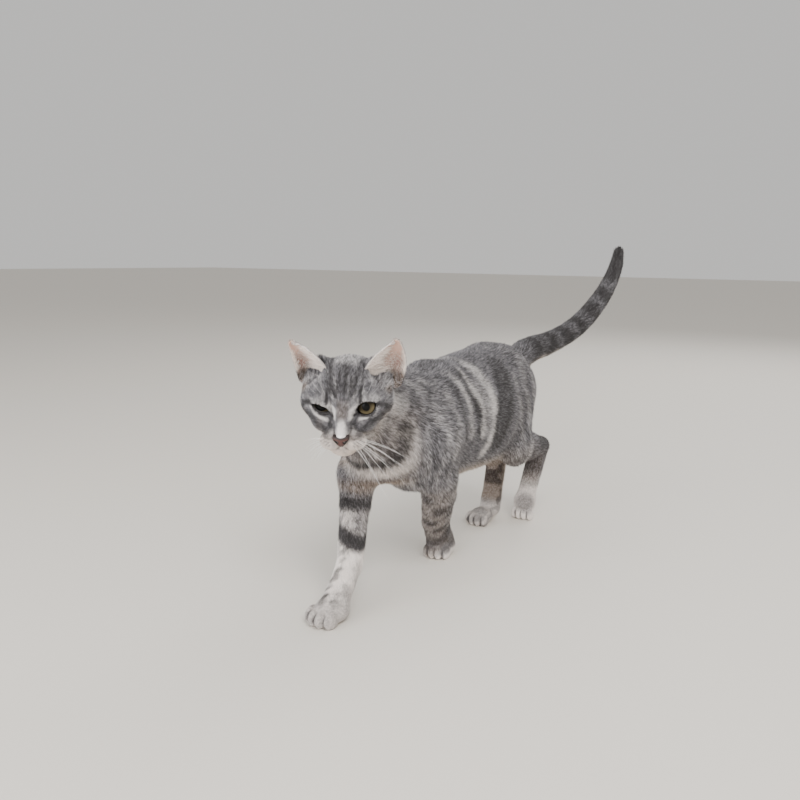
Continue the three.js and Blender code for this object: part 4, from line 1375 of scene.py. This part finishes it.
def rings_round(line, across, over, radii, sides):
    """The points of a ring round each point of a line, where across and over span the ring."""
    angles = np.arange(sides) * 2 * math.pi / sides
    ring = np.cos(angles)[None, :, None] * across[:, None] + np.sin(angles)[None, :, None] * over[:, None]
    return (line[:, None] + ring * np.asarray(radii)[:, None, None]).reshape(-1, 3)


def tube(line, radii, sides=6):
    """Points and triangles of a tube with closed ends along a line."""
    line = np.asarray(line, float)
    way = unit(np.gradient(line, axis=0))
    across = unit(np.cross(way, unit(vec(0.31, 0.22, 0.93))))
    points = rings_round(line, across, np.cross(way, across), radii, sides)
    faces = []
    for i in range(len(line) - 1):
        for j in range(sides):
            a, b = i * sides + j, i * sides + (j + 1) % sides
            faces += [(a, b, b + sides), (a, b + sides, a + sides)]
    last = len(points)
    points = np.concatenate([points, line[:1], line[-1:]])
    end = (len(line) - 1) * sides
    for j in range(sides):
        faces.append((last, (j + 1) % sides, j))
        faces.append((last + 1, end + j, end + (j + 1) % sides))
    return points, np.array(faces)


def ring_tube(line, radii, sides=6):
    """The same round a closed line."""
    line = np.asarray(line, float)
    n = len(line)
    way = unit(np.roll(line, -1, 0) - np.roll(line, 1, 0))
    middle = line.mean(0)
    across = unit(line - middle - way * dot(line - middle, way)[:, None])
    points = rings_round(line, across, np.cross(way, across), radii, sides)
    faces = []
    for i in range(n):
        for j in range(sides):
            a, b = i * sides + j, i * sides + (j + 1) % sides
            c, d = (a + sides) % (n * sides), (b + sides) % (n * sides)
            faces += [(a, b, d), (a, d, c)]
    return points, np.array(faces)


def together(pieces):
    points, faces, start = [], [], 0
    for p, f in pieces:
        points.append(p)
        faces.append(f + start)
        start += len(p)
    return np.concatenate(points), np.concatenate(faces)


# ---------------------------------------------------------------- the coat, grown by Geometry Nodes

TUFT_BASE = 0.58  # the radius of a tuft's three-sided foot, for a tuft of width 1


def coat_tree():
    tree = bpy.data.node_groups.new("coat of tufts", "GeometryNodeTree")
    face = tree.interface
    face.new_socket("Skin", in_out="INPUT", socket_type="NodeSocketGeometry")
    for name, kind, value in (
        ("Share of tufts", "NodeSocketFloat", 1.0),
        ("Disorder", "NodeSocketFloat", 0.22),
        ("Patch", "NodeSocketFloat", 0.0015),
        ("Seed", "NodeSocketInt", 1),
        ("Hair", "NodeSocketMaterial", None),
    ):
        socket = face.new_socket(name, in_out="INPUT", socket_type=kind)
        if value is not None:
            socket.default_value = value
    face.new_socket("Coat", in_out="OUTPUT", socket_type="NodeSocketGeometry")
    g = Nodes(tree)
    given = g.node("NodeGroupInput")

    def named(name, kind="FLOAT"):
        return g.node("GeometryNodeInputNamedAttribute", {"data_type": kind}, {"Name": name})

    def chance(low, high, seed, kind="FLOAT"):
        sockets = {"FLOAT": (2, 3, 1), "FLOAT_VECTOR": (0, 1, 0)}[kind]
        index = g.node("GeometryNodeInputIndex")
        inputs = {sockets[0]: low, sockets[1]: high, 7: index, 8: given.output("Seed") + seed}
        return g.node("FunctionNodeRandomValue", {"data_type": kind}, inputs, output=sockets[2])

    def kept(geometry, name, kind, value, domain="POINT"):
        return g.node("GeometryNodeStoreNamedAttribute", {"data_type": kind, "domain": domain},
                      {"Geometry": geometry, "Name": name, "Value": value})

    spread = g.node("GeometryNodeDistributePointsOnFaces", {"distribute_method": "RANDOM"}, {
        "Mesh": given.output("Skin"), "Density": named("density") * given.output("Share of tufts"),
        "Seed": given.output("Seed")})
    points = kept(spread, "up", "FLOAT_VECTOR", spread.output("Normal"))
    clumps = g.node("ShaderNodeTexNoise", {}, {
        "Vector": g.node("GeometryNodeInputPosition"), "Scale": 480.0, "Detail": 1.0})
    grain = clumps.between(0.4, 0.6) * 0.55 + chance(0.0, 1.0, 1) * 0.45
    grain = (grain - 0.5) * (named("length").between(0.0015, 0.006) * 0.6 + 0.4) + 0.5
    points = kept(points, "grain", "FLOAT", grain)
    up = named("up", "FLOAT_VECTOR")
    any_way = chance((-1, -1, -1), (1, 1, 1), 2, "FLOAT_VECTOR")
    astray = g.vector("SCALE", any_way, scale=given.output("Disorder"))
    flat = g.vector("ADD", named("lie", "FLOAT_VECTOR"), astray)
    way = g.vector("ADD", flat, g.vector("SCALE", up, scale=named("rise") * chance(0.65, 1.1, 3)))
    turn = g.node("FunctionNodeAlignRotationToVector", {"axis": "Z"}, {"Vector": way})
    turn = g.node("FunctionNodeAlignRotationToVector", {"axis": "Y", "pivot_axis": "Z"},
                  {"Rotation": turn, "Vector": up})
    width = named("width") * chance(0.7, 1.3, 4)
    size = g.joined(width, width * 0.5, named("length") * chance(0.65, 1.1, 5))

    spike = g.node("GeometryNodeMeshCone", {"fill_type": "NGON"},
                   {"Vertices": 3, "Radius Top": 0.0, "Radius Bottom": TUFT_BASE, "Depth": 1.0})
    place = g.node("GeometryNodeInputPosition")
    spike = kept(spike, "patch", "FLOAT_VECTOR", place)
    quarter = g.node("FunctionNodeAxisAngleToRotation", {}, {"Axis": (0, 0, 1), "Angle": math.pi / 2})
    spike = g.node("GeometryNodeTransform", {}, {"Geometry": spike, "Rotation": quarter})
    tufts = g.node("GeometryNodeInstanceOnPoints", {},
                   {"Points": points, "Instance": spike, "Rotation": turn, "Scale": size})
    coat = g.node("GeometryNodeRealizeInstances", {}, {"Geometry": tufts})
    patch = g.node("ShaderNodeSeparateXYZ", {}, {0: named("patch", "FLOAT_VECTOR")})
    flat_patch = g.joined(patch, patch.output("Y"), 0.0)
    offset = g.vector("SCALE", flat_patch, scale=given.output("Patch") / TUFT_BASE)
    coat = kept(coat, "OFBake", "FLOAT2", g.vector("ADD", named("OFBake", "FLOAT_VECTOR"), offset), "CORNER")
    coat = kept(coat, "tip", "FLOAT", patch.output("Z"))
    marks = g.mixed(named("marks", "FLOAT_COLOR"), named("ahead", "FLOAT_COLOR"), patch.output("Z"))
    coat = kept(coat, "marks", "FLOAT_COLOR", marks)
    own = g.node("GeometryNodeInputNormal")
    skins = g.vector("SCALE", named("up", "FLOAT_VECTOR"), scale=0.75)
    soft = g.vector("ADD", skins, g.vector("SCALE", own, scale=0.35))
    coat = g.node("GeometryNodeSetMeshNormal", {"mode": "FREE", "domain": "POINT"},
                  {"Mesh": coat, "Custom Normal": g.vector("NORMALIZE", soft)})
    for name in ("up", "lie", "rise", "width", "length", "density", "patch", "ahead"):
        coat = g.node("GeometryNodeRemoveAttribute", {}, {"Geometry": coat, "Name": name})
    coat = g.node("GeometryNodeSetMaterial", {}, {"Geometry": coat, "Material": given.output("Hair")})
    end = g.nodes.new("NodeGroupOutput")
    g.links.new(coat.socket, end.inputs["Coat"])
    return tree


COAT_TREE = coat_tree()


def grow(name, emitter, seed, disorder):
    """The tufts that stand on an emitter, as a plain mesh."""
    modifier = emitter.modifiers.new("coat", "NODES")
    modifier.node_group = COAT_TREE
    wanted = {"Disorder": disorder, "Seed": seed, "Hair": COAT_MATERIAL}
    for item in COAT_TREE.interface.items_tree:
        if item.in_out == "INPUT" and item.name in wanted:
            modifier[item.identifier] = wanted[item.name]
    graph = bpy.context.evaluated_depsgraph_get()
    mesh = bpy.data.meshes.new_from_object(
        emitter.evaluated_get(graph), preserve_all_data_layers=True, depsgraph=graph)
    emitter.modifiers.remove(modifier)
    mesh.name = name
    thing = bpy.data.objects.new(name, mesh)
    bpy.context.collection.objects.link(thing)
    bpy.data.objects.remove(emitter)
    return thing


# ---------------------------------------------------------------- the skin and what grows on it

def front_of(x, z):
    """Where the skin of the face is at x, z of the head's frame, coming from the front."""
    steps = np.linspace(-46, 30, 153)
    d = skin(out_of_head(np.stack([np.full(len(steps), x), steps, np.full(len(steps), z)], 1)))
    first = max(np.argmax(d < 0), 1)
    a, b = d[first - 1], d[first]
    return vec(x, steps[first - 1] + (steps[1] - steps[0]) * a / (a - b), z)


def coat_length(place):
    """The tufts' length in millimetres."""
    p, s, h = place.p, place.share, place.h
    trunk = mix(LENGTH["belly"], LENGTH["trunk"], smooth(0.05, 0.35, place.height))
    chest = smooth(-70, -112, p[:, 1]) * smooth(200, 160, p[:, 2])
    trunk = mix(trunk, LENGTH["chest"], chest)
    from_nose = np.linalg.norm(h - vec(0, -30, -18), axis=1)
    head = np.interp(from_nose, [0, 12, 25, 42, 62, 80], [1.6, 2.0, 2.5, 3.3, 4.4, 5.4])
    cheek = smooth(-6, 20, h[:, 1]) * smooth(8, -14, h[:, 2])
    head = head + 1.8 * cheek
    near_eye = np.min([np.linalg.norm(h - eye_centre(side), axis=1) for side in SIDES], axis=0)
    head = mix(np.minimum(head, 1.4), head, smooth(12, 20, near_eye))
    length = s["trunk"] * trunk + s["neck"] * LENGTH["neck"] + s["head"] * head + s["tail"] * LENGTH["tail"]
    down_leg, on_leg = [0, 0.25, 0.5, 0.68, 0.85, 1], [5.8, 5.6, 4.8, 3.8, 2.9, 2.3]
    for name in LEGS:
        length = length + s[name] * np.interp(place.legs[name][0], down_leg, on_leg)
    return mix(length, LENGTH["paw"], place.on_paw())


# Each piece of the coat, with the number of tufts it may have.
COAT_PIECES = {
    "face": 49_000, "crown": 26_000, "neck": 40_000, "shoulders": 49_000, "loins": 49_000, "tail": 34_000,
    "foreleg_right": 33_000, "foreleg_left": 27_000, "hindleg_right": 24_000, "hindleg_left": 25_000,
}


def piece_of(place):
    """Which piece of the coat a place belongs to."""
    names = list(COAT_PIECES)
    strongest = np.argmin(place.distances, axis=0)
    out = np.zeros(len(place.p), int)
    for i, part in enumerate(PARTS):
        here = strongest == i
        if part == "head":
            out[here] = np.where(place.h[here, 1] < 12, names.index("face"), names.index("crown"))
        elif part == "trunk":
            out[here] = np.where(place.p[here, 1] < 20, names.index("shoulders"), names.index("loins"))
        else:
            out[here] = names.index(part)
    return out


def face_areas(points, triangles):
    a, b, c = (points[triangles[:, k]] for k in range(3))
    return np.linalg.norm(np.cross(b - a, c - a), axis=1) / 2


def emitter(name, points, triangles, budget, marks, ahead, lie, length, width, rise, layers):
    """A bare piece of skin that carries what the tufts on it need to know."""
    used, index = np.unique(triangles, return_inverse=True)
    triangles = index.reshape(-1, 3)
    points, marks, ahead, lie, length, width, rise, layers = (
        v[used] for v in (points, marks, ahead, lie, length, width, rise, layers))
    density = layers / (0.5 * length * width)
    total = float((density[triangles].mean(1) * face_areas(points, triangles)).sum())
    share = min(1.0, 0.985 * TUFTS * budget / total)
    wider = share ** -0.5
    thing = mesh_object(f"{name}_roots", points, triangles, SKIN_MATERIAL)
    unwrap(thing)
    store_marks(thing, marks)
    store_marks(thing, ahead, "ahead")
    store(thing, "lie", "FLOAT_VECTOR", lie)
    store(thing, "length", "FLOAT", length * MM)
    store(thing, "width", "FLOAT", width * wider * MM)
    store(thing, "rise", "FLOAT", rise)
    store(thing, "density", "FLOAT", density * share / MM**2)
    return thing


def make_body():
    points, triangles = make_skin()
    place = Place(points)
    normals = normals_of(points, triangles)
    thing = mesh_object("skin", points, triangles, SKIN_MATERIAL)
    unwrap(thing)
    marks = markings(place)
    store_marks(thing, marks)
    store(thing, "bare", "FLOAT", bareness(place))
    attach(thing, "root")
    sections = {"fore": ("shoulder", "forearm", "paw"), "hind": ("thigh", "shank", "foot", "paw")}
    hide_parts("trunk", "neck", "head", "tail_base", "tail_middle", "tail_tip", *(
        f"{name}_{part}" for name in LEGS for part in sections[name[:4]]))

    lie = coat_lie(place, normals)
    length = coat_length(place)
    width = TUFT_WIDTH[0] + TUFT_WIDTH[1] * length
    depth = coat_depth(place)
    rise = np.clip(0.9 * depth / length, 0.14, 0.42)
    rise = rise * smooth(0.5, 2.5, points[:, 2])
    ahead = markings(Place(points + lie * length[:, None] * 0.9))
    # Tufts are short under the paws, and none stand on the soles, between the lids or on the nose leather.
    length = np.where((normals[:, 2] < -0.1) & (points[:, 2] < 9), LENGTH_UNDER_PAW, length)
    bald = (normals[:, 2] < -0.45) & (points[:, 2] < 4)
    h = place.h
    for side in SIDES:
        near_eye = np.linalg.norm(h - eye_centre(side), axis=1) < EYE_RADIUS + 4
        bald |= (eye_opening(side)(h) < 1.3) & near_eye
    on_nose = np.abs(h[:, 0]) < np.interp(h[:, 2], *NOSE_EDGE) + 0.3
    bald |= on_nose & (h[:, 1] < -22) & (h[:, 2] < -15.9) & (h[:, 2] > -27.8)
    layers = np.where(bald, 0.0, TUFT_LAYERS)
    which = piece_of(Place(points[triangles].mean(1)))
    for n, (name, budget) in enumerate(COAT_PIECES.items()):
        roots = emitter(
            name, points, triangles[which == n], budget, marks, ahead, lie, length, width, rise, layers)
        coat = grow(f"coat_{name}", roots, 10 + n, DISORDER["face" if name in ("face", "crown") else "body"])
        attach(coat, "root")


def bareness(place):
    """Where flesh shows through the coat, in the line of the mouth."""
    return 0.6 * smooth(1.4, 0.7, off_mouth(place.h))


# ---------------------------------------------------------------- eyes and lids

# How widely the iris and pupil are spread over the ball: less is wider. In the narrowed right eye the pupil
# is spread so wide that it fills most of the opening with dark, as painted shade of the lids.
GAZE = {"left": 1, "right": 0.55}


def eyeball(side):
    out, up, ahead = eye_axes(side)
    rings, around = 44, 56
    angle = np.linspace(0, math.pi, rings + 1)[1:-1]
    turn = np.arange(around) * 2 * math.pi / around
    radius = EYE_RADIUS - BALL_GAP + CORNEA * np.clip(1 - (angle / math.radians(58)) ** 2, 0, 1)
    a, t = np.meshgrid(angle, turn, indexing="ij")
    r = np.repeat(radius, around)
    a, t = a.ravel(), t.ravel()
    outwards, upwards = np.sin(a) * np.cos(t), np.sin(a) * np.sin(t)
    points = out * outwards[:, None] + up * upwards[:, None] + ahead * np.cos(a)[:, None]
    points = points * r[:, None] + eye_centre(side)
    far = np.where(a < math.pi / 2, np.sin(a), 1.2)
    gaze = np.stack([far * np.cos(t), far * np.sin(t), 0 * a], 1)
    front = eye_centre(side) + ahead * (EYE_RADIUS - BALL_GAP + CORNEA)
    back = eye_centre(side) - ahead * (EYE_RADIUS - BALL_GAP)
    faces = []
    for i in range(rings - 2):
        for j in range(around):
            p, q = i * around + j, i * around + (j + 1) % around
            faces += [(p, p + around, q + around), (p, q + around, q)]
    n = len(points)
    for j in range(around):
        faces.append((n, j, (j + 1) % around))
        faces.append((n + 1, (rings - 2) * around + (j + 1) % around, (rings - 2) * around + j))
    faces = np.array(faces)
    if SIDES[side] < 0:
        faces = faces[:, ::-1]
    points = np.concatenate([points, [front, back]])
    gaze = np.concatenate([gaze, [[0, 0, 0], [1.2, 0, 0]]]) * GAZE[side]
    thing = mesh_object(f"eyeball_{side}", out_of_head(points), faces, EYE_MATERIAL)
    store(thing, "gaze", "FLOAT_VECTOR", gaze)
    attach(thing, "root")
    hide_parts(f"eye_{side}")


LID_POINTS = 36  # along the upper lid's edge, from corner to corner


def lid_line(side, radius):
    """The edge of both lids, once round, at a radius from the eye's centre."""
    out, up, ahead = eye_axes(side)
    half = EYE_OPENING[side]["half"]
    u = np.cos(np.linspace(0, math.pi, LID_POINTS))
    u = np.concatenate([-u, u[1:-1]])
    above, below = lid_heights(side, u)
    v = np.where(np.arange(len(u)) < LID_POINTS, above, below)
    across = u * half
    depth = np.sqrt(np.maximum(radius**2 - across**2 - v**2, 1))
    return eye_centre(side) + across[:, None] * out + v[:, None] * up + depth[:, None] * ahead


def lid_rims():
    pieces = []
    for side in SIDES:
        line = lid_line(side, EYE_RADIUS + 0.95)
        upper = np.arange(len(line)) < LID_POINTS
        points, faces = ring_tube(line, np.where(upper, 0.9, 0.5))
        pieces.append((out_of_head(points), faces))
    thing = mesh_object("lid_rims", *together(pieces), RIM_MATERIAL)
    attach(thing, "root")


# ---------------------------------------------------------------- the nose

# The nose leather's outline from the front: heights, and half the width there.
NOSE_EDGE = ([-27.8, -26.2, -22.5, -19.5, -18, -16.6], [0.4, 1.6, 4.3, 6.6, 7.4, 6.9])
NOSE_FORM = ellipsoid((0, -23.5, -19.5), (10, 8.4, 8.8))
NOSTRIL = bone((3.0, -33.5, -21.2), (3.3, -28.5, -21.0), 1.0, 0.8)
NOSTRIL_SLIT = bone((3.6, -32.8, -21.0), (5.6, -28.5, -19.4), 0.5, 0.35)


def past_nose_edge(h):
    """How far past the nose leather's sides and its arched top a point is."""
    x, z = np.abs(h[:, 0]), h[:, 2]
    return np.maximum(x - np.interp(z, *NOSE_EDGE), z + 17.2 - 0.022 * x * x)


def off_nostrils(h):
    m = h.copy()
    m[:, 0] = np.abs(h[:, 0])
    return np.minimum(NOSTRIL(m), NOSTRIL_SLIT(m))


def nose_leather(h):
    x, y, z = h.T
    edge = np.maximum(past_nose_edge(h), -27.6 - z)
    d = np.maximum(NOSE_FORM(h), edge * 0.8)
    d = np.maximum(d, y + 24.5)
    d = np.maximum(d, -off_nostrils(h))
    return d + 0.55 * np.exp(-((x / 0.55) ** 2)) * smooth(-21, -23.5, z)


def make_nose():
    points, faces = surface_nets(nose_leather, (-9.6, -35, -29.5), (9.6, -22, -13.5), 0.42)
    points = drawn_onto(nose_leather, points, 0.3)
    points = relaxed(points, faces, 0.25)
    thing = mesh_object("nose_leather", out_of_head(points), faces, NOSE_MATERIAL)
    store(thing, "edge", "FLOAT", smooth(2.2, 0.3, -past_nose_edge(points)))
    # hollow marks the nostrils, which the material darkens as painted shade.
    store(thing, "hollow", "FLOAT", smooth(0.9, 0.2, off_nostrils(points)))
    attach(thing, "root")
    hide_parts("nose")


# ---------------------------------------------------------------- the ears

EAR_TUFTS = 9_000
EAR_THICK = 1.6


def bend(a, b, c, t):
    """A point of the curve from a to c that b pulls towards itself."""
    a, b, c = vec(*a), vec(*b), vec(*c)
    t = np.asarray(t)[:, None]
    return (1 - t) ** 2 * a + 2 * t * (1 - t) * b + t**2 * c


def ear_face(side, u, v):
    """A point of the ear's face. Below 0 the ear narrows to its root inside the head."""
    ear = EARS[side]
    below = np.clip(-v, 0, 1)[:, None]
    v = np.maximum(v, 0)
    apart = vec(SIDES[side] * ear["roundness"], 0, 0)
    a = bend(ear["inner"], ear["inner_pull"], vec(*ear["tip"]) - apart, v)
    b = bend(ear["outer"], ear["outer_pull"], vec(*ear["tip"]) + apart, v)
    hollow = EAR_CUP * np.clip(1 - u * u, 0, 1) * np.clip(1 - v, 0, 1) ** 0.7
    cap = 0.9 * ear["roundness"] * np.clip(1 - u * u, 0, 1) * v**8
    share = ((1 + u) / 2)[:, None]
    leaf = a * (1 - share) + b * share + np.stack([0 * u, hollow, cap - 0.1 * hollow], 1)
    root = np.stack([SIDES[side] * (24 + 6 * u), 22 + 0 * u, 10 - 6 * u], 1)
    return mix(leaf, root, below)


def make_ear(side, seed):
    columns, rows = 30, 36
    u = np.sin(np.linspace(-1, 1, columns + 1) * math.pi / 2)
    v = np.concatenate([[-0.9, -0.6, -0.3, -0.1], np.linspace(0, 1, rows - 3)])
    vv, uu = (m.ravel() for m in np.meshgrid(v, u, indexing="ij"))
    e = 0.01
    du = (ear_face(side, uu + e, vv) - ear_face(side, uu - e, vv)) / (2 * e)
    dv = ear_face(side, uu, np.minimum(vv + e, 1)) - ear_face(side, uu, vv - e)
    back = unit(np.cross(du, dv))
    back *= np.where(back[:, 1:2] < 0, -1, 1)
    thick = EAR_THICK * np.minimum(1, 1.3 * np.sqrt(np.clip(1 - uu * uu, 0, 1)) + 0.3)
    inside = ear_face(side, uu, vv) + back * 0.35
    outside = ear_face(side, uu, vv) + back * thick[:, None]
    points = np.concatenate([inside, outside])
    n = len(inside)
    grid = np.arange(n).reshape(rows + 1, columns + 1)
    a, b, c, d = grid[:-1, :-1].ravel(), grid[:-1, 1:].ravel(), grid[1:, 1:].ravel(), grid[1:, :-1].ravel()
    faces = [np.stack(f, 1) for f in ((a, b, c), (a, c, d), (a + n, c + n, b + n), (a + n, d + n, c + n))]
    rim = np.concatenate([grid[0, :], grid[1:, -1], grid[-1, -2::-1], grid[-2:0:-1, 0]])
    after = np.roll(rim, -1)
    faces += [np.stack([after, rim, rim + n], 1), np.stack([after, rim + n, after + n], 1)]
    faces = np.concatenate(faces)
    if SIDES[side] < 0:
        faces = faces[:, ::-1]

    uu2, vv2 = np.tile(uu, 2), np.tile(vv, 2)
    behind = np.arange(2 * n) >= n
    thing_points = out_of_head(points)
    inner_edge = smooth(-0.35, -0.95, uu2)
    outer_edge = smooth(0.6, 0.98, uu2)
    low = smooth(0.35, 0.0, vv2)
    lobe = smooth(0.26, 0.1, vv2) * smooth(-0.1, 0.4, uu2)
    hairy = np.clip(np.maximum(np.maximum(inner_edge, 0.8 * outer_edge), 0.6 * low), 0, 1)
    rim_edge = smooth(0.82, 0.97, np.abs(uu2))
    dark = np.where(behind, 0.25 * (1 - 0.8 * rim_edge) * smooth(0.99, 0.9, vv2), 0.4 * lobe)
    outer_root = smooth(0.3, 0.12, vv2) * smooth(0.2, 0.7, uu2)
    dark = np.maximum(dark, 0.35 * outer_root)
    pale_back = 0.05 + 0.6 * np.maximum(rim_edge, smooth(0.9, 0.98, vv2))
    pale_front = mix(0.6, 0.95, hairy) * (1 - 0.7 * lobe)
    pale = np.where(behind, pale_back, pale_front) * (1 - outer_root)
    warm = np.where(behind, 0.25, 0.45 + 0.4 * lobe)
    marks = np.stack([dark, pale, warm], 1)
    bare = np.where(behind, 0.0, 0.92 * smooth(0.97, 0.84, np.abs(uu2)) * (1 - lobe) * smooth(0.02, 0.2, vv2))
    # The ear's skin darkens towards the bottom of its cup and on its inner side, as painted shade in the
    # hollow.
    cup_shade = 1.3 * smooth(0.8, 0.3, vv2) * smooth(-0.35, 0.25, uu2) * smooth(1.0, 0.75, uu2)
    cup_shade = np.clip(np.maximum(cup_shade, 0.6 * smooth(0.85, 0.5, vv2) * smooth(0.3, -0.2, uu2)), 0, 1)
    thing = mesh_object(f"ear_shell_{side}", thing_points, faces, SKIN_MATERIAL)
    unwrap(thing)
    store_marks(thing, marks)
    store(thing, "bare", "FLOAT", bare)
    store(thing, "cup_shade", "FLOAT", cup_shade)
    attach(thing, "root")
    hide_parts(f"ear_{side}")

    du2, dv2 = unit(np.tile(du, (2, 1))), unit(np.tile(dv, (2, 1)))
    across = du2 * 0.9 + dv2 * 0.7
    back_in = -du2 * 0.5 + dv2 * 0.8
    flow = np.where(behind[:, None], dv2, mix(np.where(uu2[:, None] < 0.2, across, back_in), dv2, 0.15))
    flow = unit(flow @ HEAD_ROTATION.T)
    length = np.where(behind, mix(4.2, 2.4, np.clip(vv2, 0, 1)),
                      3.0 + 9 * inner_edge * (1 - 0.6 * vv2) + 2.5 * outer_edge * (1 - vv2) + 4 * low)
    width = np.where(behind, 0.42, 0.32)
    rise = np.where(behind, 0.22, 0.36)
    layers = np.where(behind, 5.0, (0.5 * smooth(0.9, 0.5, vv2) + 1.7 * hairy) * smooth(0.92, 0.7, vv2))
    layers = layers * np.where(vv2 < 0.01, np.where(behind, 0.3, 0.0), 1)
    roots = emitter(
        f"ear_{side}", thing_points, faces, EAR_TUFTS, marks, marks, flow, length, width, rise, layers)
    coat = grow(f"hair_ear_{side}", roots, seed, DISORDER["ear"])
    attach(coat, "root")


# ---------------------------------------------------------------- whiskers

def hair(root, way, length, droop, thick, steps=12):
    """A long tapering hair whose tip bends down by droop."""
    t = np.linspace(0, 1, steps)[:, None]
    line = root + unit(way) * length * t + vec(0, 0, -1) * droop * t**2
    return tube(line, thick * (1 - 0.88 * t[:, 0] ** 1.3), 5)


def make_whiskers():
    local = np.random.default_rng(5)
    pieces = []
    for side, s in SIDES.items():
        for row, (z, start) in enumerate(WHISKER_ROWS):
            for k in range(4 - (row == 3)):
                root = front_of(s * (start + WHISKER_STEP * k), z - WHISKER_DIP * k) + vec(0, 0.6, 0)
                if side == "left":
                    if (row + k) % 2 and row:
                        continue
                    way = vec(1, -0.32 + 0.2 * k, (-0.3, -0.65, -1.1, -1.6)[row] + 0.08 * local.normal())
                    length = 50 - 4 * abs(k - 1.5) + 3 * local.normal()
                else:  # laid back along the cheek
                    way = vec(-0.62 - 0.06 * k, 0.62, -0.2 - 0.2 * row + 0.05 * local.normal())
                    length = 26 + 2 * local.normal()
                pieces.append(hair(root, way, length, length * 0.26, 0.15))
        for k in range(3):  # short ones over the eye
            root = front_of(s * (16 + 4 * k), 12.5 - abs(k - 1)) + vec(0, 0.5, 0)
            way = vec(s * (0.25 + 0.2 * k), -0.45, 1.0 - 0.1 * k)
            pieces.append(hair(root, way, 20 + 2 * local.normal(), -3.0, 0.07))
    points, faces = together(pieces)
    thing = mesh_object("whiskers", out_of_head(points), faces, WHISKER_MATERIAL)
    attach(thing, "root")


# ---------------------------------------------------------------- the studio

FLOOR_REACH = 14.0  # metres from the middle to each edge
LIGHTS = [  # each lamp's place and size in metres, its power and its tint
    ("key", (1.1, -1.3, 1.8), 1.2, 56, (1.0, 0.985, 0.96)),
    ("fill", (-0.3, -1.8, 0.45), 1.4, 37, (0.97, 0.98, 1.0)),
    ("back", (0.2, 1.9, 1.6), 1.4, 26, (1.0, 1.0, 1.0)),
]
LIT_POINT = (0, 0, 0.15)  # where all the lamps point
SKY, SKY_STRENGTH = (0.93, 0.92, 0.90, 1), 0.72

CAMERA_AT = (399.59, -773.96, 330)
CAMERA_HEADING, CAMERA_PITCH, CAMERA_ROLL = 31, 10.1, 0.7  # in degrees
LENS, SENSOR = 36.36, 36  # in millimetres


def make_studio():
    r = FLOOR_REACH
    floor = bpy.data.meshes.new("floor")
    floor.from_pydata([(-r, -r, 0), (r, -r, 0), (r, r, 0), (-r, r, 0)], [], [(0, 1, 2, 3)])
    floor.materials.append(FLOOR_MATERIAL)
    ground = bpy.data.objects.new("floor", floor)
    bpy.context.collection.objects.link(ground)
    for name, place, size, power, tint in LIGHTS:
        lamp = bpy.data.lights.new(name, "AREA")
        lamp.size, lamp.energy, lamp.color = size, power, tint
        thing = bpy.data.objects.new(name, lamp)
        thing.location = place
        thing.rotation_euler = (Vector(LIT_POINT) - Vector(place)).to_track_quat("-Z", "Y").to_euler()
        bpy.context.collection.objects.link(thing)

    world = bpy.data.worlds.new("studio")
    world.use_nodes = True
    background = world.node_tree.nodes["Background"]
    background.inputs["Color"].default_value = SKY
    background.inputs["Strength"].default_value = SKY_STRENGTH
    bpy.context.scene.world = world

    heading, pitch, roll = (math.radians(v) for v in (CAMERA_HEADING, CAMERA_PITCH, CAMERA_ROLL))
    right = vec(math.cos(heading), math.sin(heading), 0)
    ahead = vec(-math.sin(heading) * math.cos(pitch), math.cos(heading) * math.cos(pitch), -math.sin(pitch))
    up = np.cross(right, ahead)
    right, up = right * math.cos(roll) + up * math.sin(roll), up * math.cos(roll) - right * math.sin(roll)
    lens = bpy.data.cameras.new("camera")
    lens.lens, lens.sensor_width = LENS, SENSOR
    camera = bpy.data.objects.new("camera", lens)
    bpy.context.collection.objects.link(camera)
    place = to_frame(CAMERA_AT)
    camera.matrix_world = Matrix([
        (right[0], up[0], -ahead[0], place[0]),
        (right[1], up[1], -ahead[1], place[1]),
        (right[2], up[2], -ahead[2], place[2]),
        (0, 0, 0, 1),
    ])
    bpy.context.scene.camera = camera


make_body()
for side in SIDES:
    eyeball(side)
lid_rims()
make_nose()
make_ear("left", 31)  # with the seed of its hair
make_ear("right", 32)
make_whiskers()
make_studio()
